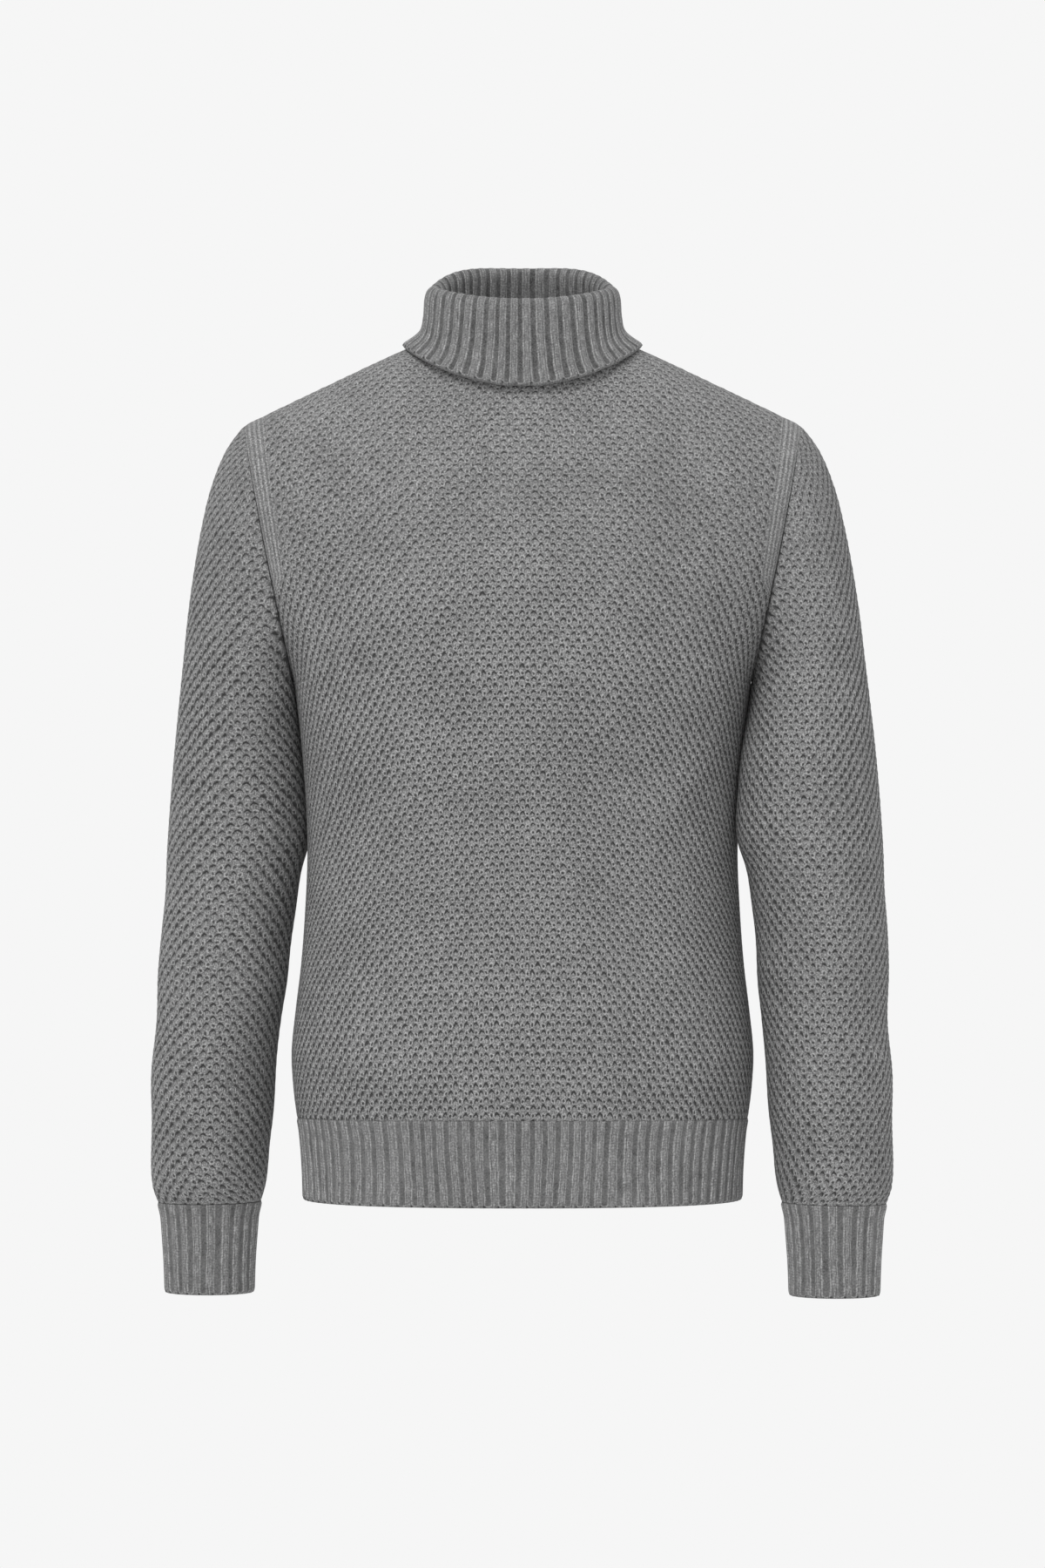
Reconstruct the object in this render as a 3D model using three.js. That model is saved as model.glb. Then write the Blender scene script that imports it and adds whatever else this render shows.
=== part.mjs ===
// A rollneck sweater in thick honeycomb knit, size M, in the hollow form that it has when worn:
// arms down, the tall ribbed collar folded over once, ribbed hem and cuffs.
// Millimetres. +Z is up, the front faces -Y, and the wearer's left arm is on +X.
// The origin is the middle of the neck, level with the high points of the shoulders.
// Each knitted piece is a wall of cloth with an outer and an inner surface and closed edges.

import * as THREE from "three";

// Cloth
const CLOTH_THICK = 3;
const RIB_THICK = 3.2;
const RIB_RISE = 0.75;
const SEAM_GAP = 0.3;

// Body, measured outside the cloth
const ARMPIT_LEVEL = -262;
const RIB_TOP_SIDE = -600;
const RIB_TOP_MIDDLE = -596;
const HEM_LEVEL = -663;
const BODY_SQUARENESS = 2.4;
// The length of a rounded quarter of the body, as a share of its width and depth together
const QUARTER_GIRTH_SHARE = 0.84;
const HEM_RIBS_EACH_HALF = 47;
const HEM_LEVELS = [0, 0.2, 0.6, 1];

// Armhole: a loop from the shoulder point down to the armpit, the same at front and back
const SHOULDER_POINT = { out: 217, up: -60 };
const ARMPIT_POINT = { out: 178, up: ARMPIT_LEVEL };
const ARMHOLE_HALF_DEPTH = 56;
const ARMHOLE_BOW = 1.5;
const ARMHOLE_PULL_POWER = 1.5;

// Neckline, where the collar is linked on, and how much of a panel's width it takes
const NECK = { out: 78, up: 6, front: 66, frontUp: -20, back: 62, backUp: 16 };
const NECK_SHARE = 1 / 3;
const NECK_CURVE = 1.5;
const NECK_LEAN_DEG = 50;
const SHOULDER_LEAN_DEG = 90;
const SHOULDER_SHARE = 0.45;
const EASE_SHARE = 0.2;
const EASE_SAMPLES = 8;
const EASE_FADE = 7;

// Collar and cuffs
const COLLAR_RIBS = 46;
const COLLAR_RING = { out: 70, front: 61, back: 60 };
const CUFF_RIBS = 21;

// How finely each surface is divided
const NECK_STEPS = 6;
const SHOULDER_STEPS = 8;
const ARMHOLE_STEPS = 12;
const BODY_STEPS = 7;
const SLEEVE_COLUMNS = 2 * ARMHOLE_STEPS;
const ARC_SAMPLES = 60;

const GREY_MELANGE = new THREE.MeshStandardMaterial({ color: 0x7b7b7b, roughness: 0.93, metalness: 0 });
const GREY_RIB = new THREE.MeshStandardMaterial({ color: 0x747474, roughness: 0.93, metalness: 0 });

// A short table: the names of its columns, then its rows of numbers.
function namedRows(columns, ...rows) {
  return rows.map((row) => Object.fromEntries(columns.map((name, k) => [name, row[k]])));
}

// The body's half width and its depth to the front and to the back, at each height
const BODY = namedRows(
  ["up", "halfWidth", "front", "back"],
  [-664, 171, 115, 111],
  [-639, 171.7, 116.5, 112.5],
  [-612, 173.8, 119, 115],
  [-598, 176, 121, 117],
  [-575, 178.8, 123, 119],
  [-549, 180, 123, 119],
  [-517, 177, 121, 116],
  [-480, 172.6, 119, 113],
  [-435, 169.3, 117, 110],
  [-394, 167.8, 116, 109],
  [-350, 169.2, 117.5, 111],
  [-300, 173.4, 121, 115],
  [-262, 178, 124, 119],
);

// Sleeve rings from the armhole to the cuff. outer and inner are a ring's two edges seen from the
// front, halfDepth is its reach to front and back, sway is how far its middle lies to the front or
// the back, as a share of the arm's own sway, and press is how much it is pressed to the body.
const SLEEVE = namedRows(
  ["outerOut", "outerUp", "innerOut", "innerUp", "halfDepth", "sway", "press"],
  [217, -60, 178, -262, 56, 0, 0],
  [232, -81, 178.1, -266.5, 57.5, 0.04, 0],
  [243.2, -109, 177.5, -271.5, 59, 0.1, 0],
  [250.6, -139, 176.8, -277, 60, 0.2, 0.01],
  [256.6, -172, 176.1, -283, 61, 0.33, 0.04],
  [261.8, -208, 175.3, -290, 62, 0.48, 0.14],
  [265.8, -245, 174.6, -298, 62.5, 0.64, 0.32],
  [269.6, -280, 173.7, -309, 62.5, 0.8, 0.59],
  [273, -313, 172.6, -325, 62, 0.93, 0.91],
  [275.8, -346, 171.5, -347, 61.5, 1, 1.1],
  [278.4, -382, 170.5, -380, 61, 1, 1.18],
  [280.2, -413, 174.8, -409, 60, 0.97, 0.3],
  [282.6, -450, 179.2, -445, 59, 0.9, 0],
  [284.8, -488, 183.4, -483, 57, 0.85, 0],
  [284.8, -525, 187, -520, 55, 0.82, 0],
  [288, -562, 190.8, -558, 53.5, 0.85, 0],
  [288.2, -600, 193, -596, 52, 0.9, 0],
  [289.4, -634, 196.4, -631, 49, 0.96, 0],
  [288, -655, 199.2, -653, 45, 1, 0],
  [284, -668, 203, -667, 39, 1.02, 0],
);

const CUFF = namedRows(
  ["outerOut", "outerUp", "innerOut", "innerUp", "halfDepth", "sway", "press"],
  [282.4, -668.4, 204.4, -667.4, 37.6, 1.02, 0],
  [280.8, -690, 206.2, -689.5, 36, 1.05, 0],
  [279.2, -715, 208, -714.5, 34.5, 1.08, 0],
  [278.4, -739, 208.8, -739, 34, 1.1, 0],
);

// Each arm's sway to the front (negative) or the back, how far it is pressed to the body, and how
// much higher its cuff is. The left arm hangs a little forward and the right one a little back.
const ARMS = [
  { name: "left", side: 1, swayMm: -40, pressMm: 3.8, cuffRaise: 4 },
  { name: "right", side: -1, swayMm: 28, pressMm: 2.4, cuffRaise: 0 },
];

// The folded collar's visible face, from the neckline up the inside, over the fold and down the
// outside to the cast-off edge. Each row is an offset from the collar's ring and a height.
const COLLAR = namedRows(
  ["sideOut", "sideUp", "frontOut", "frontUp", "backOut", "backUp"],
  [5, 6.4, 2, -19.6, -1, 16.4],
  [-3, 20, -4, -2, -4.8, 32],
  [-6.6, 39, -6.6, 24, -6.6, 59],
  [-4.4, 45.6, -4.4, 31.6, -4.4, 65.6],
  [0, 48, 0, 34, 0, 67.8],
  [4, 45.4, 4, 31.4, 4, 65.4],
  [6.2, 38, 6, 24, 6, 58],
  [7.2, 24, 8.4, -2, 7, 36],
  [10.5, 12.8, 12.8, -20, 9.6, 17],
  [24, 2.8, 18.4, -33.4, 13.6, 5],
);

// Soft folds, raised or sunk: where the middle lies, which way it runs (0 is straight up and a
// positive lean goes to +X at the top), its half length and half width, and its height.
const FRONT_FOLDS = namedRows(
  ["across", "up", "lean", "length", "width", "height"],
  [-112, -430, 3, 150, 26, 2.2],
  [-62, -360, -4, 120, 22, -1.6],
  [-34, -500, 2, 110, 20, 1.4],
  [42, -410, -3, 140, 24, 1.8],
  [98, -480, -6, 130, 26, -1.8],
  [150, -330, 34, 70, 16, 1.8],
  [-150, -320, -30, 64, 16, 1.6],
  [120, -562, 82, 60, 16, 1.4],
  [-126, -556, -84, 66, 15, 1.5],
);
const BACK_FOLDS = namedRows(
  ["across", "up", "lean", "length", "width", "height"],
  [-96, -420, -4, 140, 27, 2],
  [-20, -460, 2, 130, 24, -1.6],
  [58, -400, 4, 150, 25, 2],
  [128, -500, -5, 100, 24, -1.5],
  [146, -318, 30, 70, 17, 1.8],
  [-148, -326, -33, 66, 16, 1.8],
  [10, -560, 86, 90, 16, 1.3],
);

// Creases across the sleeves: the place down the sleeve as a share of its length, the angle
// round it (0 is the outer edge, 90 the front), half length, half width and height.
const SLEEVE_CREASES = namedRows(
  ["down", "round", "span", "width", "height"],
  [0.5, 120, 60, 0.035, 1.6],
  [0.6, 40, 50, 0.03, -1.4],
  [0.7, 150, 70, 0.03, 1.5],
  [0.8, 70, 60, 0.03, 1.4],
  [0.88, 110, 80, 0.025, -1.4],
  [0.62, 250, 60, 0.03, 1.5],
  [0.82, 290, 70, 0.03, 1.5],
);

// Smooth value of one column of a table at a place along another, by cubic pieces between rows.
function tableValue(table, key, column, at) {
  const rising = table[table.length - 1][key] > table[0][key];
  let i = table.findIndex((row) => (rising ? row[key] > at : row[key] < at)) - 1;
  i = i === -2 ? table.length - 2 : Math.max(i, 0);
  const row = (k) => table[Math.min(Math.max(k, 0), table.length - 1)];
  const span = row(i + 1)[key] - row(i)[key];
  const t = (at - row(i)[key]) / span;
  const slope = (a, b) => ((b[column] - a[column]) / (b[key] - a[key])) * span;
  const from = slope(row(i - 1), row(i + 1));
  const to = slope(row(i), row(i + 2));
  const bend = { start: 2 * t ** 3 - 3 * t ** 2 + 1, end: 3 * t ** 2 - 2 * t ** 3 };
  const pull = { start: t ** 3 - 2 * t ** 2 + t, end: t ** 3 - t ** 2 };
  return bend.start * row(i)[column] + bend.end * row(i + 1)[column] + pull.start * from + pull.end * to;
}

// The point at a share of the way along a quarter of a rounded rectangle, evenly by length.
function quarterPoint(width, depth, share) {
  const power = 2 / BODY_SQUARENESS;
  const corner = (k) => {
    const angle = (k / ARC_SAMPLES) * (Math.PI / 2);
    return [width * Math.sin(angle) ** power, depth * Math.abs(Math.cos(angle)) ** power];
  };
  const lengths = [0];
  for (let k = 1; k <= ARC_SAMPLES; k++) {
    const [x0, y0] = corner(k - 1);
    const [x1, y1] = corner(k);
    lengths.push(lengths[k - 1] + Math.hypot(x1 - x0, y1 - y0));
  }
  const wanted = share * lengths[ARC_SAMPLES];
  const k = Math.min(Math.max(lengths.findIndex((length) => length > wanted), 1), ARC_SAMPLES);
  const last = share >= 1 ? ARC_SAMPLES : k;
  const t = share >= 1 ? 1 : (wanted - lengths[last - 1]) / (lengths[last] - lengths[last - 1]);
  const [x0, y0] = corner(last - 1);
  const [x1, y1] = corner(last);
  const y = share >= 1 ? 0 : y0 + (y1 - y0) * t;
  return [x0 + (x1 - x0) * t, y];
}

// A point of the body's outside. share runs from -1 at one side seam to 1 at the other, and
// facing is -1 on the front and 1 on the back.
function bodyPoint(up, share, facing) {
  const width = tableValue(BODY, "up", "halfWidth", up);
  const depth = tableValue(BODY, "up", facing < 0 ? "front" : "back", up);
  const [x, y] = quarterPoint(width, depth, Math.abs(share));
  return new THREE.Vector3(Math.sign(share) * x, facing * y, up);
}

// The top edge of a panel: half the neckline, then the shoulder seam out to the shoulder point.
function topEdgePoint(share, facing) {
  const part = Math.abs(share);
  if (part <= NECK_SHARE) {
    const angle = (part / NECK_SHARE) * (Math.PI / 2);
    const depth = facing < 0 ? NECK.front : NECK.back;
    const middleUp = facing < 0 ? NECK.frontUp : NECK.backUp;
    const near = Math.abs(Math.cos(angle)) ** NECK_CURVE;
    const x = Math.sign(share) * NECK.out * Math.sin(angle);
    return new THREE.Vector3(x, facing * depth * Math.cos(angle), NECK.up + (middleUp - NECK.up) * near);
  }
  const t = (part - NECK_SHARE) / (1 - NECK_SHARE);
  const x = Math.sign(share) * (NECK.out + (SHOULDER_POINT.out - NECK.out) * t);
  return new THREE.Vector3(x, 0, NECK.up + (SHOULDER_POINT.up - NECK.up) * t);
}

// The top edge with its corners at the neck eased, which shapes the cloth below the edge.
function easedTopPoint(share, facing) {
  const sum = new THREE.Vector3();
  for (let k = -EASE_SAMPLES; k <= EASE_SAMPLES; k++) {
    const near = share + (EASE_SHARE * k) / EASE_SAMPLES;
    sum.add(topEdgePoint(near, facing));
  }
  return sum.divideScalar(2 * EASE_SAMPLES + 1);
}

// The armhole loop, by the angle from its top, with positive depth towards facing.
function armholePoint(angle, side, facing) {
  const swing = (1 + Math.cos(angle)) / 2;
  const bow = ARMHOLE_BOW * Math.sin(angle) ** 2 * swing;
  const out = ARMPIT_POINT.out + (SHOULDER_POINT.out - ARMPIT_POINT.out) * swing + bow;
  const up = ARMPIT_POINT.up + (SHOULDER_POINT.up - ARMPIT_POINT.up) * swing;
  return new THREE.Vector3(side * out, facing * ARMHOLE_HALF_DEPTH * Math.sin(angle), up);
}

function easeBetween(t) {
  const held = Math.min(Math.max(t, 0), 1);
  return held * held * (3 - 2 * held);
}

// From the armpit level up to the top edge, rounded over the chest and the shoulder.
function archPoint(share, rise, facing) {
  const foot = bodyPoint(ARMPIT_LEVEL, share, facing);
  const top = topEdgePoint(share, facing).lerp(easedTopPoint(share, facing), 1 - rise ** EASE_FADE);
  const sideways = easeBetween(Math.abs(share) / SHOULDER_SHARE);
  const lean = THREE.MathUtils.degToRad(NECK_LEAN_DEG + (SHOULDER_LEAN_DEG - NECK_LEAN_DEG) * sideways);
  const climb = Math.sin(rise * lean) / Math.sin(lean);
  const reach = (Math.cos(rise * lean) - Math.cos(lean)) / (1 - Math.cos(lean));
  return new THREE.Vector3(
    foot.x + (top.x - foot.x) * climb,
    top.y + (foot.y - top.y) * reach,
    foot.z + (top.z - foot.z) * climb,
  );
}

// The chest and shoulders: the arch, drawn to the armhole loop near the sides.
function chestPoint(share, rise, facing) {
  const point = archPoint(share, rise, facing);
  const side = Math.sign(share) || 1;
  const beside = easeBetween((Math.abs(share) - NECK_SHARE) / (1 - NECK_SHARE));
  const pull = beside ** ARMHOLE_PULL_POWER;
  const edge = armholePoint(Math.PI * (1 - rise), side, facing);
  return point.add(edge.sub(archPoint(side, rise, facing)).multiplyScalar(pull));
}

// How far the folds lift the cloth at a place. across is millimetres from the middle.
function foldHeight(folds, across, up) {
  return folds.reduce((height, fold) => {
    const lean = THREE.MathUtils.degToRad(fold.lean);
    const aside = (across - fold.across) * Math.cos(lean) - (up - fold.up) * Math.sin(lean);
    const along = (across - fold.across) * Math.sin(lean) + (up - fold.up) * Math.cos(lean);
    return height + fold.height * Math.exp(-((aside / fold.width) ** 2) - (along / fold.length) ** 2);
  }, 0);
}

function halfGirth(facing) {
  const width = tableValue(BODY, "up", "halfWidth", ARMPIT_LEVEL);
  const depth = tableValue(BODY, "up", facing < 0 ? "front" : "back", ARMPIT_LEVEL);
  return QUARTER_GIRTH_SHARE * (width + depth);
}

// Normals of a grid of points, facing out. A closed grid's rows run all the way round.
function gridNormals(grid, closed) {
  const columns = grid[0].length;
  const normals = grid.map((row, r) =>
    row.map((point, c) => {
      const before = closed ? row[(c + columns - 1) % columns] : row[Math.max(c - 1, 0)];
      const after = closed ? row[(c + 1) % columns] : row[Math.min(c + 1, columns - 1)];
      const below = grid[Math.max(r - 1, 0)][c];
      const above = grid[Math.min(r + 1, grid.length - 1)][c];
      const round = after.clone().sub(before);
      return round.cross(above.clone().sub(below)).normalize();
    }),
  );
  const facing = normals.reduce((sum, row, r) => {
    const centre = new THREE.Vector3();
    grid[r].forEach((point) => centre.addScaledVector(point, 1 / columns));
    const from = closed ? centre : new THREE.Vector3(0, 0, centre.z);
    return sum + row.reduce((part, normal, c) => part + normal.dot(grid[r][c].clone().sub(from)), 0);
  }, 0);
  return facing < 0 ? normals.map((row) => row.map((normal) => normal.negate())) : normals;
}

// The inner surface: each point moved in by the cloth's thickness. At an edge, the move stays in
// the seam's own plane, whose normal edgePlane gives, so that the next piece's edge meets it.
function innerGrid(grid, thick, closed, edgePlane) {
  const normals = gridNormals(grid, closed);
  return grid.map((row, r) =>
    row.map((point, c) => {
      const inward = normals[r][c].clone().negate();
      const planes = edgePlane(r, c);
      planes.forEach((plane) => inward.addScaledVector(plane, -inward.dot(plane)));
      return point.clone().addScaledVector(inward.normalize(), thick);
    }),
  );
}

// Triangles between two lines of points. The first line is walked backwards, the second forwards.
function joinLines(faces, first, second) {
  let i = 0;
  let j = 0;
  while (i < first.length - 1 || j < second.length - 1) {
    const nextFirst = (i + 1) / (first.length - 1);
    const nextSecond = (j + 1) / (second.length - 1);
    if (nextFirst <= nextSecond && i < first.length - 1) {
      faces.push([first[i + 1], first[i], second[j]]);
      i += 1;
    } else {
      faces.push([second[j], second[j + 1], first[i]]);
      j += 1;
    }
  }
}

function addSurface(faces, ids, turned) {
  for (let r = 0; r < ids.length - 1; r++) {
    for (let c = 0; c < ids[r].length - 1; c++) {
      const corners = [ids[r][c], ids[r][c + 1], ids[r + 1][c + 1], ids[r + 1][c]];
      const [a, b, d, e] = turned ? corners.reverse() : corners;
      faces.push([a, b, d], [a, d, e]);
    }
  }
}

function signedVolume(points, faces) {
  return faces.reduce((sum, [a, b, c]) => {
    return sum + points[a].dot(points[b].clone().cross(points[c])) / 6;
  }, 0);
}

// A closed wall from its outer and inner surfaces, with strips along its edges.
function wallMesh(name, outer, inner, closed, material) {
  const points = [];
  const faces = [];
  const number = (grid) => {
    const ids = grid.map((row) => row.map((point) => points.push(point) - 1));
    return closed ? ids.map((row) => [...row, row[0]]) : ids;
  };
  const outerIds = number(outer);
  const innerIds = number(inner);
  const column = (ids, c) => ids.map((row) => row.at(c));
  addSurface(faces, outerIds, false);
  addSurface(faces, innerIds, true);
  joinLines(faces, outerIds[0], innerIds[0]);
  joinLines(faces, innerIds.at(-1), outerIds.at(-1));
  if (!closed) {
    joinLines(faces, column(innerIds, 0), column(outerIds, 0));
    joinLines(faces, column(outerIds, -1), column(innerIds, -1));
  }
  if (signedVolume(points, faces) < 0) {
    faces.forEach((face) => face.reverse());
  }
  const geometry = new THREE.BufferGeometry();
  const numbers = points.flatMap((point) => point.toArray());
  geometry.setAttribute("position", new THREE.Float32BufferAttribute(numbers, 3));
  geometry.setIndex(faces.flat());
  geometry.computeVertexNormals();
  const mesh = new THREE.Mesh(geometry, material.clone());
  mesh.name = name;
  return mesh;
}

// Shares of a panel's width at which its columns stand, closer along the neckline.
function panelShares() {
  const half = [];
  for (let k = 0; k <= NECK_STEPS; k++) {
    half.push((NECK_SHARE * k) / NECK_STEPS);
  }
  for (let k = 1; k <= SHOULDER_STEPS; k++) {
    half.push(NECK_SHARE + ((1 - NECK_SHARE) * k) / SHOULDER_STEPS);
  }
  return [...half.slice(1).reverse().map((share) => -share), ...half];
}

// The front or back: the body from the rib to the armpits, then the chest up to the shoulders.
function panel(name, facing, folds) {
  const shares = panelShares();
  const girth = halfGirth(facing);
  const rows = [];
  for (let r = 0; r < BODY_STEPS; r++) {
    rows.push(shares.map((share) => {
      const foot = RIB_TOP_MIDDLE + (RIB_TOP_SIDE - RIB_TOP_MIDDLE) * share ** 2;
      return bodyPoint(foot + ((ARMPIT_LEVEL - foot) * r) / BODY_STEPS, share, facing);
    }));
  }
  for (let r = 0; r <= ARMHOLE_STEPS; r++) {
    rows.push(shares.map((share) => chestPoint(share, r / ARMHOLE_STEPS, facing)));
  }
  const normals = gridNormals(rows, false);
  const last = rows.length - 1;
  const outer = rows.map((row, r) => row.map((point, c) => {
    const loose = r === 0 || r === last || Math.abs(shares[c]) === 1 ? 0 : 1;
    const lift = loose * foldHeight(folds, shares[c] * girth, point.z);
    const lifted = point.clone().addScaledVector(normals[r][c], lift);
    lifted.y += facing * (SEAM_GAP / 2);
    return lifted;
  }));
  const loopTilt = new THREE.Vector3(
    SHOULDER_POINT.up - ARMPIT_POINT.up, 0, ARMPIT_POINT.out - SHOULDER_POINT.out,
  ).normalize();
  const flat = new THREE.Vector3(0, 0, 1);
  const seam = new THREE.Vector3(0, 1, 0);
  const inner = innerGrid(outer, CLOTH_THICK, false, (r, c) => {
    const planes = [];
    const atSide = c === 0 || c === shares.length - 1;
    if (r === 0) planes.push(flat);
    if (atSide && (r <= BODY_STEPS || r === last)) planes.push(seam);
    if (atSide && r > BODY_STEPS) {
      planes.push(new THREE.Vector3(Math.sign(shares[c]) * loopTilt.x, 0, loopTilt.z));
    }
    if (r === last && Math.abs(shares[c]) >= NECK_SHARE && !atSide) planes.push(seam);
    return planes;
  });
  return wallMesh(name, outer, inner, false, GREY_MELANGE);
}

// One half of the ribbed hem, crest and groove by turns, from the rib's top down to the edge.
function hemRib(name, facing) {
  const count = 2 * HEM_RIBS_EACH_HALF;
  const plain = HEM_LEVELS.map((level) => {
    const row = [];
    for (let k = 0; k <= count; k++) {
      const share = (2 * k) / count - 1;
      const top = RIB_TOP_MIDDLE + (RIB_TOP_SIDE - RIB_TOP_MIDDLE) * share ** 2 - SEAM_GAP;
      const point = bodyPoint(top + (HEM_LEVEL - top) * level, share, facing);
      point.y += facing * (SEAM_GAP / 2);
      row.push(point);
    }
    return row;
  });
  const normals = gridNormals(plain, false);
  const outer = plain.map((row, r) => row.map((point, k) => {
    const atSide = k === 0 || k === count;
    const rise = k % 2 === 1 ? RIB_RISE : -RIB_RISE;
    return atSide ? point : point.clone().addScaledVector(normals[r][k], rise);
  }));
  const flat = new THREE.Vector3(0, 0, 1);
  const seam = new THREE.Vector3(0, 1, 0);
  const inner = innerGrid(plain, RIB_THICK, false, (r, k) => {
    return k === 0 || k === count ? [flat, seam] : [flat];
  });
  const thinned = inner.map((row) => row.filter((point, k) => k % 2 === 0));
  return wallMesh(name, outer, thinned, false, GREY_RIB);
}

// A ring round an arm from a row of sizes: angle 0 is the outer edge, and a quarter turn the front.
function armRing(row, arm, columns, raise) {
  const innerOut = row.innerOut - row.press * arm.pressMm;
  const middle = new THREE.Vector3(
    (arm.side * (row.outerOut + innerOut)) / 2,
    row.sway * arm.swayMm,
    (row.outerUp + row.innerUp) / 2 + raise,
  );
  const toOuter = new THREE.Vector3(
    (arm.side * (row.outerOut - innerOut)) / 2,
    0,
    (row.outerUp - row.innerUp) / 2,
  );
  const ring = [];
  for (let k = 0; k < columns; k++) {
    const angle = (2 * Math.PI * k) / columns;
    const point = middle.clone().addScaledVector(toOuter, Math.cos(angle));
    point.y -= row.halfDepth * Math.sin(angle);
    ring.push(point);
  }
  return ring;
}

function ringPlane(row, arm) {
  const out = arm.side * (row.outerOut - row.innerOut);
  return new THREE.Vector3(row.innerUp - row.outerUp, 0, out).normalize();
}

function creaseHeight(down, roundDeg) {
  return SLEEVE_CREASES.reduce((height, crease) => {
    const turn = Math.abs(((roundDeg - crease.round + 540) % 360) - 180);
    const apart = ((down - crease.down) / crease.width) ** 2;
    return height + crease.height * Math.exp(-apart - (turn / crease.span) ** 2);
  }, 0);
}

function sleeve(arm) {
  const lowest = SLEEVE.length - 1;
  const rings = SLEEVE.map((row, r) => {
    return armRing(row, arm, SLEEVE_COLUMNS, arm.cuffRaise * easeBetween(r / lowest));
  });
  const loopNormal = ringPlane(SLEEVE[0], arm);
  rings[0] = rings[0].map((point, k) => {
    const angle = (2 * Math.PI * k) / SLEEVE_COLUMNS;
    const facing = Math.sin(angle) > 0 ? -1 : 1;
    const folded = angle > Math.PI ? 2 * Math.PI - angle : angle;
    const edge = armholePoint(folded, arm.side, facing);
    return edge.addScaledVector(loopNormal, -Math.sign(loopNormal.z) * SEAM_GAP);
  });
  const normals = gridNormals(rings, true);
  const outer = rings.map((ring, r) => ring.map((point, k) => {
    const loose = r === 0 || r === lowest ? 0 : 1;
    const lift = loose * creaseHeight(r / lowest, (360 * k) / SLEEVE_COLUMNS);
    return point.clone().addScaledVector(normals[r][k], lift);
  }));
  const inner = innerGrid(outer, CLOTH_THICK, true, (r) => {
    return r === 0 || r === lowest ? [ringPlane(SLEEVE[r], arm)] : [];
  });
  return wallMesh(`sleeve_${arm.name}`, outer, inner, true, GREY_MELANGE);
}

function cuff(arm) {
  const columns = 2 * CUFF_RIBS;
  const plain = CUFF.map((row) => armRing(row, arm, columns, arm.cuffRaise));
  const normals = gridNormals(plain, true);
  const outer = plain.map((ring, r) => ring.map((point, k) => {
    return point.clone().addScaledVector(normals[r][k], k % 2 === 1 ? RIB_RISE : -RIB_RISE);
  }));
  const inner = innerGrid(plain, RIB_THICK, true, (r) => {
    return r === 0 || r === CUFF.length - 1 ? [ringPlane(CUFF[r], arm)] : [];
  });
  const thinned = inner.map((row) => row.filter((point, k) => k % 2 === 0));
  return wallMesh(`cuff_${arm.name}`, outer, thinned, true, GREY_RIB);
}

// The folded collar. Each place round the neck has its own section, between the side's and the
// front's or the back's, and the wall's hidden face lies between its two layers.
function collar() {
  const columns = 2 * COLLAR_RIBS;
  const sectionAt = (angle) => {
    const facing = Math.cos(angle) > 0 ? -1 : 1;
    const depth = facing < 0 ? COLLAR_RING.front : COLLAR_RING.back;
    const near = Math.abs(Math.cos(angle)) ** NECK_CURVE;
    const ring = new THREE.Vector3(COLLAR_RING.out * Math.sin(angle), -depth * Math.cos(angle), 0);
    const outward = new THREE.Vector3(ring.x / COLLAR_RING.out ** 2, ring.y / depth ** 2, 0).normalize();
    const section = COLLAR.map((row) => {
      const toOut = facing < 0 ? row.frontOut : row.backOut;
      const toUp = facing < 0 ? row.frontUp : row.backUp;
      return [row.sideOut + (toOut - row.sideOut) * near, row.sideUp + (toUp - row.sideUp) * near];
    });
    return { ring, outward, section };
  };
  const visible = COLLAR.map(() => []);
  const hidden = COLLAR.map(() => []);
  for (let k = 0; k < columns; k++) {
    const { ring, outward, section } = sectionAt((2 * Math.PI * k) / columns);
    const rise = k % 2 === 1 ? RIB_RISE : -RIB_RISE;
    section.forEach(([out, up], j) => {
      const [beforeOut, beforeUp] = section[Math.max(j - 1, 0)];
      const [afterOut, afterUp] = section[Math.min(j + 1, section.length - 1)];
      const length = Math.hypot(afterOut - beforeOut, afterUp - beforeUp);
      const normalOut = -(afterUp - beforeUp) / length;
      const normalUp = (afterOut - beforeOut) / length;
      const place = (shift) => {
        const point = ring.clone().addScaledVector(outward, out + normalOut * shift);
        point.z = up + normalUp * shift;
        return point;
      };
      visible[j].push(place(rise));
      if (k % 2 === 0) hidden[j].push(place(-RIB_THICK));
    });
  }
  return wallMesh("collar", visible, hidden, true, GREY_RIB);
}

const group = new THREE.Group();
group.add(panel("front", -1, FRONT_FOLDS));
group.add(panel("back", 1, BACK_FOLDS));
group.add(hemRib("hem_rib_front", -1));
group.add(hemRib("hem_rib_back", 1));
ARMS.forEach((arm) => {
  group.add(sleeve(arm));
  group.add(cuff(arm));
});
group.add(collar());

export default group;
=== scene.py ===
"""The knitted look of the rollneck sweater, built on its library part.

Lengths in the tables are millimetres, as in the part, and meshes are made in metres.
+Z is up, the front faces -Y and the wearer's left arm is on +X.
"""

import math

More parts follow.
